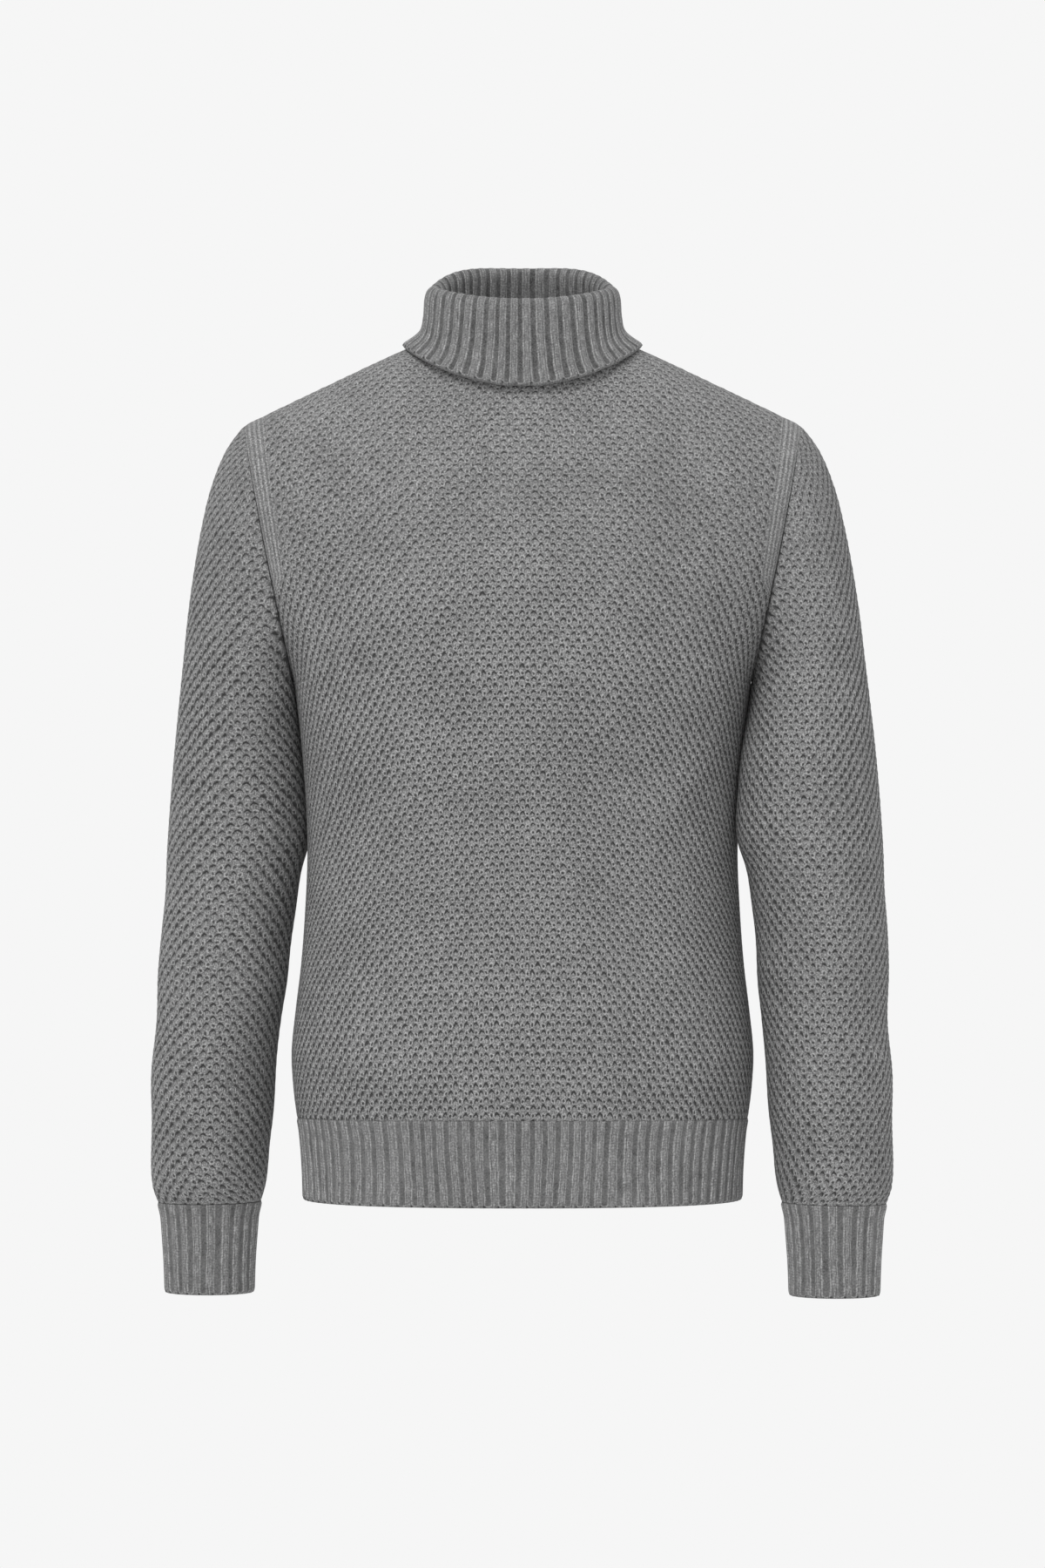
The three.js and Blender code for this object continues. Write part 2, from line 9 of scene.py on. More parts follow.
import bmesh
import bpy
import numpy as np
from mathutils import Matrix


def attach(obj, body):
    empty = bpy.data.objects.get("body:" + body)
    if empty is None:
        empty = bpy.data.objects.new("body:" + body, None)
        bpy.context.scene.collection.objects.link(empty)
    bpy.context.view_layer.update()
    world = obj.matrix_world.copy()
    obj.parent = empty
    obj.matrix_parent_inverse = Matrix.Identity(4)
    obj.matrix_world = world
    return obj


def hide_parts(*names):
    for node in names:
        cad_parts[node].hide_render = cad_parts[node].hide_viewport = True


bl_info = {
    "name": "Rollneck Sweater",
    "version": (1, 0, 0),
    "blender": (4, 5, 0),
    "location": "3D View > Sidebar > Sweater",
    "description": "Builds the knitted pieces, their yarn and the studio light of a rollneck sweater",
    "category": "Object",
}

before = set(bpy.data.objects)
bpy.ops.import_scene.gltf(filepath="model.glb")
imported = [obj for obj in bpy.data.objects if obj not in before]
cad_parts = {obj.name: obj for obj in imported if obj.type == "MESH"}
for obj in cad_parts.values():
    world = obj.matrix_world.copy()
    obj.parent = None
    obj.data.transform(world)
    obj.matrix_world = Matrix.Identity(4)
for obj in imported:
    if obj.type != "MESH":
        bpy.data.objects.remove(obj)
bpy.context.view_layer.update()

MM = 0.001

# Cloth, as in the part
CLOTH_THICK = 3.0
RIB_THICK = 3.2
RIB_RISE = 0.75
SEAM_GAP = 0.3
KNIT_ON_GAP = 0.08
# A sleeve swells this much where it lies against the body, to close the part's clearance there
TOUCH_SWELL = 0.8
# A cuff's top is drawn out this much by the wider sleeve, over this length
CUFF_FLARE = 1.5
CUFF_FLARE_REACH = 13.0
# Below the elbows both arms hang this much towards the wearer's right
FOREARM_SHIFT = -2.4

# Body and armholes, as in the part
ARMPIT_LEVEL = -262.0
RIB_TOP_SIDE = -600.0
RIB_TOP_MIDDLE = -596.0
HEM_LEVEL = -663.0
BODY_SQUARENESS = 2.4
QUARTER_GIRTH_SHARE = 0.84
SHOULDER_OUT, SHOULDER_UP = 217.0, -60.0
ARMPIT_OUT = 178.0
ARMHOLE_HALF_DEPTH = 56.0
ARMHOLE_BOW = 1.5
ARMHOLE_PULL_POWER = 1.5

# Neckline and shoulders, as in the part
NECK_OUT, NECK_UP = 78.0, 6.0
NECK_FRONT, NECK_FRONT_UP = 66.0, -20.0
NECK_BACK, NECK_BACK_UP = 62.0, 16.0
NECK_SHARE = 1 / 3
NECK_CURVE = 1.5
NECK_LEAN = math.radians(50)
SHOULDER_LEAN = math.radians(90)
SHOULDER_SHARE = 0.45
EASE_SHARE = 0.2
EASE_SAMPLES = 8
EASE_FADE = 7

# Ribs
HEM_RIBS_EACH_HALF = 47
COLLAR_RIBS = 46
COLLAR_OUT, COLLAR_FRONT, COLLAR_BACK = 70.0, 61.0, 60.0
CUFF_RIBS = 21

# The stage, in metres
FLOOR_LEVEL = -1.08
FLOOR_RADIUS = 0.62

# How finely each surface is divided; the inner surface has a quarter as many steps each way
PANEL_COLUMNS = 264
BODY_ROWS = 172
CHEST_ROWS = 128
SLEEVE_COLUMNS = 192
SLEEVE_ROWS = 344
COLLAR_ROWS = 72
HEM_ROWS = 24
CUFF_ROWS = 36
HEM_STEPS_PER_RIB = 12
ROUND_STEPS_PER_RIB = 12
INNER_STEP = 4
ARC_SAMPLES = 240


def columns(names, *rows):
    """A short table: each named column as an array."""
    return dict(zip(names.split(), np.array(rows, float).T))


BODY = columns(
    "up halfWidth front back",
    (-664, 171, 115, 111),
    (-639, 171.7, 116.5, 112.5),
    (-612, 173.8, 119, 115),
    (-598, 176, 121, 117),
    (-575, 178.8, 123, 119),
    (-549, 180, 123, 119),
    (-517, 177, 121, 116),
    (-480, 172.6, 119, 113),
    (-435, 169.3, 117, 110),
    (-394, 167.8, 116, 109),
    (-350, 169.2, 117.5, 111),
    (-300, 173.4, 121, 115),
    (-262, 178, 124, 119),
)

SLEEVE = columns(
    "outerOut outerUp innerOut innerUp halfDepth sway press",
    (217, -60, 178, -262, 56, 0, 0),
    (232, -81, 178.1, -266.5, 57.5, 0.04, 0),
    (243.2, -109, 177.5, -271.5, 59, 0.1, 0),
    (250.6, -139, 176.8, -277, 60, 0.2, 0.01),
    (256.6, -172, 176.1, -283, 61, 0.33, 0.04),
    (261.8, -208, 175.3, -290, 62, 0.48, 0.14),
    (265.8, -245, 174.6, -298, 62.5, 0.64, 0.32),
    (269.6, -280, 173.7, -309, 62.5, 0.8, 0.59),
    (273, -313, 172.6, -325, 62, 0.93, 0.91),
    (275.8, -346, 171.5, -347, 61.5, 1, 1.1),
    (278.4, -382, 170.5, -380, 61, 1, 1.18),
    (280.2, -413, 174.8, -409, 60, 0.97, 0.3),
    (282.6, -450, 179.2, -445, 59, 0.9, 0),
    (284.8, -488, 183.4, -483, 57, 0.85, 0),
    (284.8, -525, 187, -520, 55, 0.82, 0),
    (288, -562, 190.8, -558, 53.5, 0.85, 0),
    (288.2, -600, 193, -596, 52, 0.9, 0),
    (289.4, -634, 196.4, -631, 49, 0.96, 0),
    (288, -655, 199.2, -653, 45, 1, 0),
    (284, -668, 203, -667, 39, 1.02, 0),
)

CUFF = columns(
    "outerOut outerUp innerOut innerUp halfDepth sway press",
    (282.4, -668.4, 204.4, -667.4, 37.6, 1.02, 0),
    (280.8, -690, 206.2, -689.5, 36, 1.05, 0),
    (279.2, -715, 208, -714.5, 34.5, 1.08, 0),
    (278.4, -739, 208.8, -739, 34, 1.1, 0),
)

# Each arm's side, sway, press and cuff raise as in the part, how wide its stitches are, and the share
# by which the elbow opens them
ARMS = {
    "left": {"side": 1, "sway": -40.0, "press": 3.8, "raise": 4.0, "stitch": 9.2, "open": 0.03},
    "right": {"side": -1, "sway": 28.0, "press": 2.4, "raise": 0.0, "stitch": 10.8, "open": 0.17},
}
ELBOW_LEVEL, ELBOW_REACH = -360.0, 120.0

# The folded collar's section, from the neckline up inside, over the fold and down the outside
COLLAR = columns(
    "sideOut sideUp frontOut frontUp backOut backUp",
    (5, 6.4, 2, -19.6, -1, 16.4),
    (-3, 20, -4, -2, -4.8, 32),
    (-6.6, 39, -6.6, 24, -6.6, 59),
    (-4.4, 45.6, -4.4, 31.6, -4.4, 65.6),
    (0, 48, 0, 34, 0, 67.8),
    (4, 45.4, 4, 31.4, 4, 65.4),
    (6.2, 38, 6, 24, 6, 58),
    (7.2, 24, 8.4, -2, 7, 36),
    (10.5, 12.8, 12.8, -20, 9.6, 17),
    (24, 2.8, 18.4, -33.4, 13.6, 5),
)

COLLAR_FOLD_ROW = 4
# At the back the folded rim stands fuller towards the sides than the neckline below it
BACK_RIM_FILL = 1.6

# The plain band beside each armhole: it ends above the armpit, and is stretched wider than it was knitted
BAND_END = -225.0
BAND_OPENING = 1.4

# The soft folds that the part has, then the slighter ones that only the cloth shows
FRONT_FOLDS = columns(
    "across up lean length width height",
    (-112, -430, 3, 150, 26, 2.2),
    (-62, -360, -4, 120, 22, -1.6),
    (-34, -500, 2, 110, 20, 1.4),
    (42, -410, -3, 140, 24, 1.8),
    (98, -480, -6, 130, 26, -1.8),
    (150, -330, 34, 70, 16, 1.8),
    (-150, -320, -30, 64, 16, 1.6),
    (120, -562, 82, 60, 16, 1.4),
    (-126, -556, -84, 66, 15, 1.5),
)
BACK_FOLDS = columns(
    "across up lean length width height",
    (-96, -420, -4, 140, 27, 2),
    (-20, -460, 2, 130, 24, -1.6),
    (58, -400, 4, 150, 25, 2),
    (128, -500, -5, 100, 24, -1.5),
    (146, -318, 30, 70, 17, 1.8),
    (-148, -326, -33, 66, 16, 1.8),
    (10, -560, 86, 90, 16, 1.3),
)
SLEEVE_CREASES = columns(
    "down round span width height",
    (0.5, 120, 60, 0.035, 1.6),
    (0.6, 40, 50, 0.03, -1.4),
    (0.7, 150, 70, 0.03, 1.5),
    (0.8, 70, 60, 0.03, 1.4),
    (0.88, 110, 80, 0.025, -1.4),
    (0.62, 250, 60, 0.03, 1.5),
    (0.82, 290, 70, 0.03, 1.5),
)

# The body's honeycomb by level: width and height of one whole repeat in millimetres, and how its rows
# curve down towards the sides, as drop per square of the distance from the middle
STITCH = columns(
    "up wide high sag",
    (-664, 7.9, 11.6, 0.0001),
    (-560, 7.8, 11.6, 0.0002),
    (-500, 7.8, 11.2, 0.0003),
    (-408, 7.7, 9.8, 0.0008),
    (-299, 8.1, 10.3, 0.0007),
    (-204, 8.8, 9.8, 0.0004),
    (-136, 9.4, 9.2, 0.0003),
    (-68, 9.7, 9.4, 0.0002),
    (30, 9.9, 9.6, 0),
)
SLEEVE_STITCH_HIGH = 10.7


def smooth_value(table, key, column, at):
    """One column of a table at places along another, by cubic pieces between its rows."""
    x, y = (np.arange(len(table[column])) if key is None else table[key]), table[column]
    way = 1 if x[-1] > x[0] else -1
    i = np.clip(np.searchsorted(way * x, way * np.asarray(at), side="right") - 1, 0, len(x) - 2)
    before, after = np.maximum(i - 1, 0), np.minimum(i + 2, len(x) - 1)
    span = x[i + 1] - x[i]
    t = (at - x[i]) / span
    start = (y[i + 1] - y[before]) / (x[i + 1] - x[before]) * span
    end = (y[after] - y[i]) / (x[after] - x[i]) * span
    ends = (2 * t**3 - 3 * t**2 + 1) * y[i] + (3 * t**2 - 2 * t**3) * y[i + 1]
    return ends + (t**3 - 2 * t**2 + t) * start + (t**3 - t**2) * end


def ease(t):
    """0 below 0, 1 above 1 and smooth between."""
    held = np.clip(t, 0, 1)
    return held * held * (3 - 2 * held)


def point(x, y, z):
    """Points as one array, from coordinates of any matching shapes."""
    return np.stack(np.broadcast_arrays(x, y, z), axis=-1).astype(float)


def unit(vectors):
    """The same directions with length one."""
    return vectors / np.maximum(np.linalg.norm(vectors, axis=-1, keepdims=True), 1e-9)


def running_length(steps, axis):
    """Running sum of steps along an axis, starting from zero."""
    total = np.cumsum(steps, axis=axis)
    first = np.zeros_like(np.take(total, [0], axis=axis))
    return np.concatenate([first, total], axis=axis)


def body_points(up, shares, facing):
    """Points of the body's outside. shares run from -1 at one side seam to 1 at the other."""
    levels = np.arange(math.floor(up.min()) - 1, math.ceil(up.max()) + 2, 1.0)
    width = smooth_value(BODY, "up", "halfWidth", levels)
    depth = smooth_value(BODY, "up", "front" if facing < 0 else "back", levels)
    angle = np.linspace(0, math.pi / 2, ARC_SAMPLES + 1)
    power = 2 / BODY_SQUARENESS
    arc_x, arc_y = np.sin(angle) ** power, np.cos(angle).clip(0) ** power
    x, y = np.empty((len(levels), len(shares))), np.empty((len(levels), len(shares)))
    for k in range(len(levels)):
        px, py = width[k] * arc_x, depth[k] * arc_y
        run = running_length(np.hypot(np.diff(px), np.diff(py)), 0)
        x[k] = np.interp(np.abs(shares) * run[-1], run, px)
        y[k] = np.interp(np.abs(shares) * run[-1], run, py)
    low = np.floor(up - levels[0]).astype(int)
    t = up - levels[0] - low
    c = np.arange(len(shares))[None]
    out = x[low, c] * (1 - t) + x[low + 1, c] * t
    deep = y[low, c] * (1 - t) + y[low + 1, c] * t
    return point(np.sign(shares) * out, facing * deep, up)


def top_edge(shares, facing):
    """A panel's top edge: half the neckline, then the shoulder seam out to the shoulder point."""
    part = np.abs(shares)
    angle = np.clip(part / NECK_SHARE, 0, 1) * math.pi / 2
    depth, middle_up = (NECK_FRONT, NECK_FRONT_UP) if facing < 0 else (NECK_BACK, NECK_BACK_UP)
    near = np.cos(angle).clip(0) ** NECK_CURVE
    t = (part - NECK_SHARE) / (1 - NECK_SHARE)
    beyond = part > NECK_SHARE
    out = np.where(beyond, NECK_OUT + (SHOULDER_OUT - NECK_OUT) * t, NECK_OUT * np.sin(angle))
    deep = np.where(beyond, 0, facing * depth * np.cos(angle))
    neck_up = NECK_UP + (middle_up - NECK_UP) * near
    up = np.where(beyond, NECK_UP + (SHOULDER_UP - NECK_UP) * t, neck_up)
    return point(np.sign(shares) * out, deep, up)


def armhole_edge(angle, side, facing):
    """The armhole loop, by the angle from its top."""
    swing = (1 + np.cos(angle)) / 2
    out = ARMPIT_OUT + (SHOULDER_OUT - ARMPIT_OUT) * swing + ARMHOLE_BOW * np.sin(angle) ** 2 * swing
    up = ARMPIT_LEVEL + (SHOULDER_UP - ARMPIT_LEVEL) * swing
    return point(side * out, facing * ARMHOLE_HALF_DEPTH * np.sin(angle), up)


def arch_points(rise, shares, facing):
    """From the armpit level up to the top edge, rounded over the chest and the shoulder."""
    foot = body_points(np.full((1, len(shares)), ARMPIT_LEVEL), shares, facing)
    edge = top_edge(shares, facing)
    offsets = EASE_SHARE * np.arange(-EASE_SAMPLES, EASE_SAMPLES + 1) / EASE_SAMPLES
    eased = np.mean([top_edge(shares + offset, facing) for offset in offsets], axis=0)
    rise = rise[:, None]
    top = edge + (eased - edge) * (1 - rise**EASE_FADE)[..., None]
    sideways = ease(np.abs(shares) / SHOULDER_SHARE)
    lean = NECK_LEAN + (SHOULDER_LEAN - NECK_LEAN) * sideways
    climb = np.sin(rise * lean) / np.sin(lean)
    reach = (np.cos(rise * lean) - np.cos(lean)) / (1 - np.cos(lean))
    x = foot[..., 0] + (top[..., 0] - foot[..., 0]) * climb
    y = top[..., 1] + (foot[..., 1] - top[..., 1]) * reach
    return point(x, y, foot[..., 2] + (top[..., 2] - foot[..., 2]) * climb)


def chest_points(rise, shares, facing):
    """The chest and shoulders: the arch, drawn to the armhole loop near the sides."""
    points = arch_points(rise, shares, facing)
    beside = ease((np.abs(shares) - NECK_SHARE) / (1 - NECK_SHARE)) ** ARMHOLE_PULL_POWER
    for side in (-1, 1):
        arch_end = arch_points(rise, np.array([float(side)]), facing)
        pull = np.where(np.sign(shares) == side, beside, 0)[None, :, None]
        points = points + pull * (armhole_edge(math.pi * (1 - rise), side, facing)[:, None] - arch_end)
    return points


def fold_height(folds, across, up):
    """How far the soft folds lift the cloth. across is millimetres from the middle."""
    height = np.zeros(np.broadcast(across, up).shape)
    for k in range(len(folds["across"])):
        lean = math.radians(folds["lean"][k])
        beside, above = across - folds["across"][k], up - folds["up"][k]
        aside = beside * math.cos(lean) - above * math.sin(lean)
        along = beside * math.sin(lean) + above * math.cos(lean)
        spread = (aside / folds["width"][k]) ** 2 + (along / folds["length"][k]) ** 2
        height += folds["height"][k] * np.exp(-spread)
    return height


def grid_normals(grid, closed):
    """Normals of a grid of points, facing out. A closed grid's rows run all the way round."""
    if closed:
        across = np.roll(grid, -1, axis=1) - np.roll(grid, 1, axis=1)
    else:
        across = np.gradient(grid, axis=1)
    normals = unit(np.cross(across, np.gradient(grid, axis=0)))
    centre = grid.mean(axis=1, keepdims=True) * ((1, 1, 1) if closed else (0, 0, 1))
    return normals if (normals * (grid - centre)).sum() > 0 else -normals


def inner_grid(grid, normals, thick, planes):
    """The inside: points moved in by the cloth's thickness, kept in the seam's plane at an edge."""
    inward = -normals[::INNER_STEP, ::INNER_STEP]
    for mask, plane in planes:
        flat = np.asarray(plane, float)
        kept = inward - (inward @ flat)[..., None] * flat
        inward = np.where(mask[::INNER_STEP, ::INNER_STEP, None], kept, inward)
    return grid[::INNER_STEP, ::INNER_STEP] + unit(inward) * thick


def zip_lines(first, second):
    """Triangles between two lines of points: the first walked backwards, the second forwards."""
    faces, i, j = [], 0, 0
    while i < len(first) - 1 or j < len(second) - 1:
        if i < len(first) - 1 and (i + 1) / (len(first) - 1) <= (j + 1) / (len(second) - 1):
            faces.append((first[i + 1], first[i], second[j]))
            i += 1
        else:
            faces.append((second[j], second[j + 1], first[i]))
            j += 1
    return faces


def knitted_wall(name, outer, inner, closed, stitches, edges, material):
    """A closed wall of cloth from its outer and inner surfaces, with strips along its edges."""
    rows, wide = outer.shape[:2]
    outer_ids = np.arange(rows * wide).reshape(rows, wide)
    inner_ids = rows * wide + np.arange(inner.shape[0] * inner.shape[1]).reshape(inner.shape[:2])
    if closed:
        outer_ids = np.hstack([outer_ids, outer_ids[:, :1]])
        inner_ids = np.hstack([inner_ids, inner_ids[:, :1]])

    def quads(grid):
        return np.stack([grid[:-1, :-1], grid[:-1, 1:], grid[1:, 1:], grid[1:, :-1]], axis=-1)

    def spread(values):
        return [quads(values).ravel(), quads(values[::INNER_STEP, ::INNER_STEP])[..., ::-1].ravel()]

    rims = zip_lines(outer_ids[0], inner_ids[0]) + zip_lines(inner_ids[-1], outer_ids[-1])
    if not closed:
        rims += zip_lines(inner_ids[:, 0], outer_ids[:, 0]) + zip_lines(outer_ids[:, -1], inner_ids[:, -1])
    rims = np.array(rims)
    four = np.concatenate([quads(outer_ids).reshape(-1, 4), quads(inner_ids)[..., ::-1].reshape(-1, 4)])
    loops = np.concatenate([four.ravel(), rims.ravel()])
    starts = np.concatenate([4 * np.arange(len(four)), 4 * len(four) + 3 * np.arange(len(rims))])
    points = np.concatenate([outer.reshape(-1, 3), inner.reshape(-1, 3)]) * MM

    mesh = bpy.data.meshes.new(name)
    mesh.vertices.add(len(points))
    mesh.vertices.foreach_set("co", points.ravel())
    mesh.loops.add(len(loops))
    mesh.loops.foreach_set("vertex_index", loops)
    mesh.polygons.add(len(starts))
    mesh.polygons.foreach_set("loop_start", starts)
    smooth = np.ones(len(starts), bool)
    smooth[len(four):] = False
    mesh.polygons.foreach_set("use_smooth", smooth)
    mesh.update(calc_edges=True)
    for layer, (u, v) in (("Stitches", stitches), ("Edges", edges)):
        rim_u, rim_v = (np.concatenate([a[:, :wide].ravel(), a[::INNER_STEP, :wide:INNER_STEP].ravel()])
                        for a in (u, v))
        flat_u = np.concatenate([*spread(u), rim_u[rims.ravel()]])
        flat_v = np.concatenate([*spread(v), rim_v[rims.ravel()]])
        uv = mesh.uv_layers.new(name=layer)
        uv.data.foreach_set("uv", np.stack([flat_u, flat_v], axis=-1).ravel())
    first = outer[0, 0] - inner[0, 0]
    if normals_point_in(outer, outer_ids, first):
        mesh.flip_normals()
    mesh.materials.append(material)
    piece = bpy.data.objects.new(name + "_knit", mesh)
    bpy.context.scene.collection.objects.link(piece)
    return piece


def normals_point_in(outer, ids, out_way):
    """True if the first outer face turns away from the way out of the cloth."""
    a, b, c = (outer.reshape(-1, 3)[ids[k]] for k in ((0, 0), (0, 1), (1, 1)))
    return float(np.cross(b - a, c - a) @ out_way) < 0


def dress(piece, node):
    """Ties a finished piece to the root body and hides the part's node that it replaces."""
    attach(piece, "root")
    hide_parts(node)


def honeycomb_relief(stitches, depth):
    """The brick lattice of raised cells and sunk stitches, from stitch coordinates."""
    across, down = stitches
    return depth * np.cos(2 * math.pi * across) * np.cos(2 * math.pi * (down + 0.36))


def seam_groove(distance, deep=0.9, wide=2.2):
    """How far the cloth's edge rolls in towards a seam."""
    return -deep * np.exp(-((distance / wide) ** 2))


def knitted_on(distance):
    """The far slighter groove where a rib is knitted straight on, with no seam."""
    return seam_groove(distance, 0.25, 1.2)


def under_arm(up):
    """1 where a sleeve lies against the body, below the armpit, and 0 away from there."""
    return ease((up + 420) / 30) * ease((ARMPIT_LEVEL + 4 - up) / 8)


def level_steps(grid, normals, high):
    """Whole stitch repeats up each column of a grid, by its height along the slope of the cloth."""
    slope = np.sqrt(np.clip(1 - normals[..., 2] ** 2, 0.16, 1))
    climb = np.diff(grid[..., 2], axis=0) / ((slope[1:] + slope[:-1]) / 2)
    tall = (high[1:] + high[:-1]) / 2
    return running_length(climb / tall, 0)


def build_panel(name, facing, folds, looks):
    """The front or the back, from the hem rib to the neckline and the shoulders."""
    shares = np.linspace(-1, 1, PANEL_COLUMNS + 1)
    girth = QUARTER_GIRTH_SHARE * (
        smooth_value(BODY, "up", "halfWidth", ARMPIT_LEVEL)
        + smooth_value(BODY, "up", "front" if facing < 0 else "back", ARMPIT_LEVEL)
    )
    foot = RIB_TOP_MIDDLE + (RIB_TOP_SIDE - RIB_TOP_MIDDLE) * shares**2
    part = np.linspace(0, 1, BODY_ROWS + 1)[:-1, None]
    body = body_points(foot + (ARMPIT_LEVEL - foot) * part, shares, facing)
    chest = chest_points(np.linspace(0, 1, CHEST_ROWS + 1), shares, facing)
    plain = np.concatenate([body, chest])
    normals = grid_normals(plain, False)
    rows = len(plain)
    row, column = np.arange(rows)[:, None], np.arange(PANEL_COLUMNS + 1)[None]
    at_side = (column == 0) | (column == PANEL_COLUMNS)
    inside = ~(at_side | (row == 0) | (row == rows - 1))

    # Distances to the edges, in millimetres along the cloth
    steps_up = np.linalg.norm(np.diff(plain, axis=0), axis=-1)
    from_hem = running_length(steps_up, 0)
    from_top = from_hem[-1:] - from_hem
    steps_across = np.linalg.norm(np.diff(plain, axis=1), axis=-1)
    across = running_length(steps_across, 1)
    from_side = np.minimum(across, across[:, -1:] - across)
    to_armhole = from_side / BAND_OPENING + 40 * (1 - ease((plain[..., 2] - BAND_END) / 45))

    level_across = running_length(np.linalg.norm(np.diff(plain[..., :2], axis=1), axis=-1), 1)
    level_across -= level_across[:, PANEL_COLUMNS // 2][:, None]
    wide = smooth_value(STITCH, "up", "wide", plain[..., 2])
    high = smooth_value(STITCH, "up", "high", plain[..., 2])
    sag = smooth_value(STITCH, "up", "sag", plain[..., 2]) * plain[..., 0] ** 2
    stitches = (level_across / wide, level_steps(plain, normals, high) + sag / high)

    lift = fold_height(folds, shares * girth, plain[..., 2])
    under_collar = ease((from_top - 14) / 16) + ease((np.abs(shares) - NECK_SHARE - 0.1) / 0.1)
    calm = ease((to_armhole - 10) / 5) * ease(from_hem / 4) * under_collar.clip(0, 1)
    beside_arm = (1 - 0.65 * ease((np.abs(shares) - 0.82) / 0.1)) * (1 - under_arm(plain[..., 2]) * (np.abs(shares) > 0.84))
    relief = honeycomb_relief(stitches, looks.relief_depth / MM) * calm * beside_arm
    band = -0.35 * np.exp(-(((to_armhole - 11.5) / 1.6) ** 2))
    groove = seam_groove(from_side) + seam_groove(from_top) + knitted_on(from_hem)
    folded = plain + normals * (np.where(inside, lift, 0))[..., None] + (0, facing * SEAM_GAP / 2, 0)
    outer = folded + normals * (relief + band + groove)[..., None]

    tilt = unit(np.array([SHOULDER_UP - ARMPIT_LEVEL, 0, ARMPIT_OUT - SHOULDER_OUT]))
    armhole_side = (row > BODY_ROWS) & at_side
    planes = [
        ((row == 0) & (column >= 0), (0, 0, 1)),
        (at_side & ((row <= BODY_ROWS) | (row == rows - 1)), (0, 1, 0)),
        (armhole_side & (column > 0), tilt),
        (armhole_side & (column == 0), tilt * (-1, 1, 1)),
        ((row == rows - 1) & (np.abs(shares) >= NECK_SHARE) & ~at_side, (0, 1, 0)),
    ]
    inner = inner_grid(folded, grid_normals(folded, False), CLOTH_THICK, planes)
    material = looks.materials["honeycomb"]
    piece = knitted_wall(name, outer, inner, False, stitches, (to_armhole, from_hem), material)
    dress(piece, name)
    return piece


def rib_wave(phase):
    """A rib's rise from -1 in the flat trough, where phase is whole, to 1 on its rounded crest."""
    from_trough = np.abs((phase + 0.5) % 1 - 0.5)
    return 1.7 * ease((from_trough - 0.17) / 0.16) - 1 + 0.3 * ease((from_trough - 0.3) / 0.2)


def uneven_ribs(phase, count, along):
    """Rib phases that crowd and lean a little, so that no two ribs stand alike. along is from 0 to 1."""
    turn = 2 * math.pi * phase / count
    crowd = 0.0032 * np.sin(5 * turn + 1) + 0.0013 * np.sin(11 * turn + 2)
    lean = 0.003 * np.sin(3 * turn + 0.5) * np.sin(math.pi * (along + 0.2))
    return phase + count * (crowd + lean)


def build_hem(name, facing, looks):
    """One half of the ribbed hem, knitted on to its panel."""
    count = HEM_STEPS_PER_RIB * HEM_RIBS_EACH_HALF
    shares = np.linspace(-1, 1, count + 1)
    top = RIB_TOP_MIDDLE + (RIB_TOP_SIDE - RIB_TOP_MIDDLE) * shares**2 - KNIT_ON_GAP
    part = np.linspace(0, 1, HEM_ROWS + 1)[:, None]
    plain = body_points(top + (HEM_LEVEL - top) * part, shares, facing) + (0, facing * SEAM_GAP / 2, 0)
    normals = grid_normals(plain, False)
    from_top = running_length(np.linalg.norm(np.diff(plain, axis=0), axis=-1), 0)
    from_edge = from_top[-1:] - from_top
    across = running_length(np.linalg.norm(np.diff(plain, axis=1), axis=-1), 1)
    from_side = np.minimum(across, across[:, -1:] - across)
    ribs = uneven_ribs(np.arange(count + 1) / HEM_STEPS_PER_RIB, HEM_RIBS_EACH_HALF, part)
    rise = RIB_RISE * rib_wave(ribs) * ease(from_side / 3) * (1 - 0.6 * ease(1 - from_edge / 3))
    rise = rise * ease(0.2 + from_top / 3)
    groove = seam_groove(from_side) + knitted_on(from_top) + seam_groove(from_edge, 0.5, 1.6)
    outer = plain + normals * (rise + groove)[..., None]
    row, column = np.arange(HEM_ROWS + 1)[:, None], np.arange(count + 1)[None]
    planes = [((row >= 0) & (column >= 0), (0, 0, 1)),
              ((row >= 0) & ((column == 0) | (column == count)), (0, 1, 0))]
    inner = inner_grid(plain, normals, RIB_THICK, planes)
    courses = from_top / (looks.rib_course / MM)
    piece = knitted_wall(name, outer, inner, False, (ribs, courses), (from_edge, from_top),
                         looks.materials["rib"])
    dress(piece, name)


def arm_rings(table, at, arm, angles, raised):
    """Rings round an arm at places down a table: angle 0 is the outer edge, a quarter turn the front."""
    row = {name: smooth_value(table, None, name, at)[:, None] for name in table}
    inner_out = row["innerOut"] - row["press"] * arm["press"]
    half_out, half_up = (row["outerOut"] - inner_out) / 2, (row["outerUp"] - row["innerUp"]) / 2
    x = arm["side"] * ((row["outerOut"] + inner_out) / 2 + half_out * np.cos(angles))
    y = row["sway"] * arm["sway"] - row["halfDepth"] * np.sin(angles)
    z = (row["outerUp"] + row["innerUp"]) / 2 + raised + half_up * np.cos(angles)
    return point(x + FOREARM_SHIFT * ease((-430 - z) / 120), y, z)


def ring_plane(table, row, side):
    """The normal of one ring's plane."""
    out = side * (table["outerOut"][row] - table["innerOut"][row])
    return unit(np.array([table["innerUp"][row] - table["outerUp"][row], 0, out]))


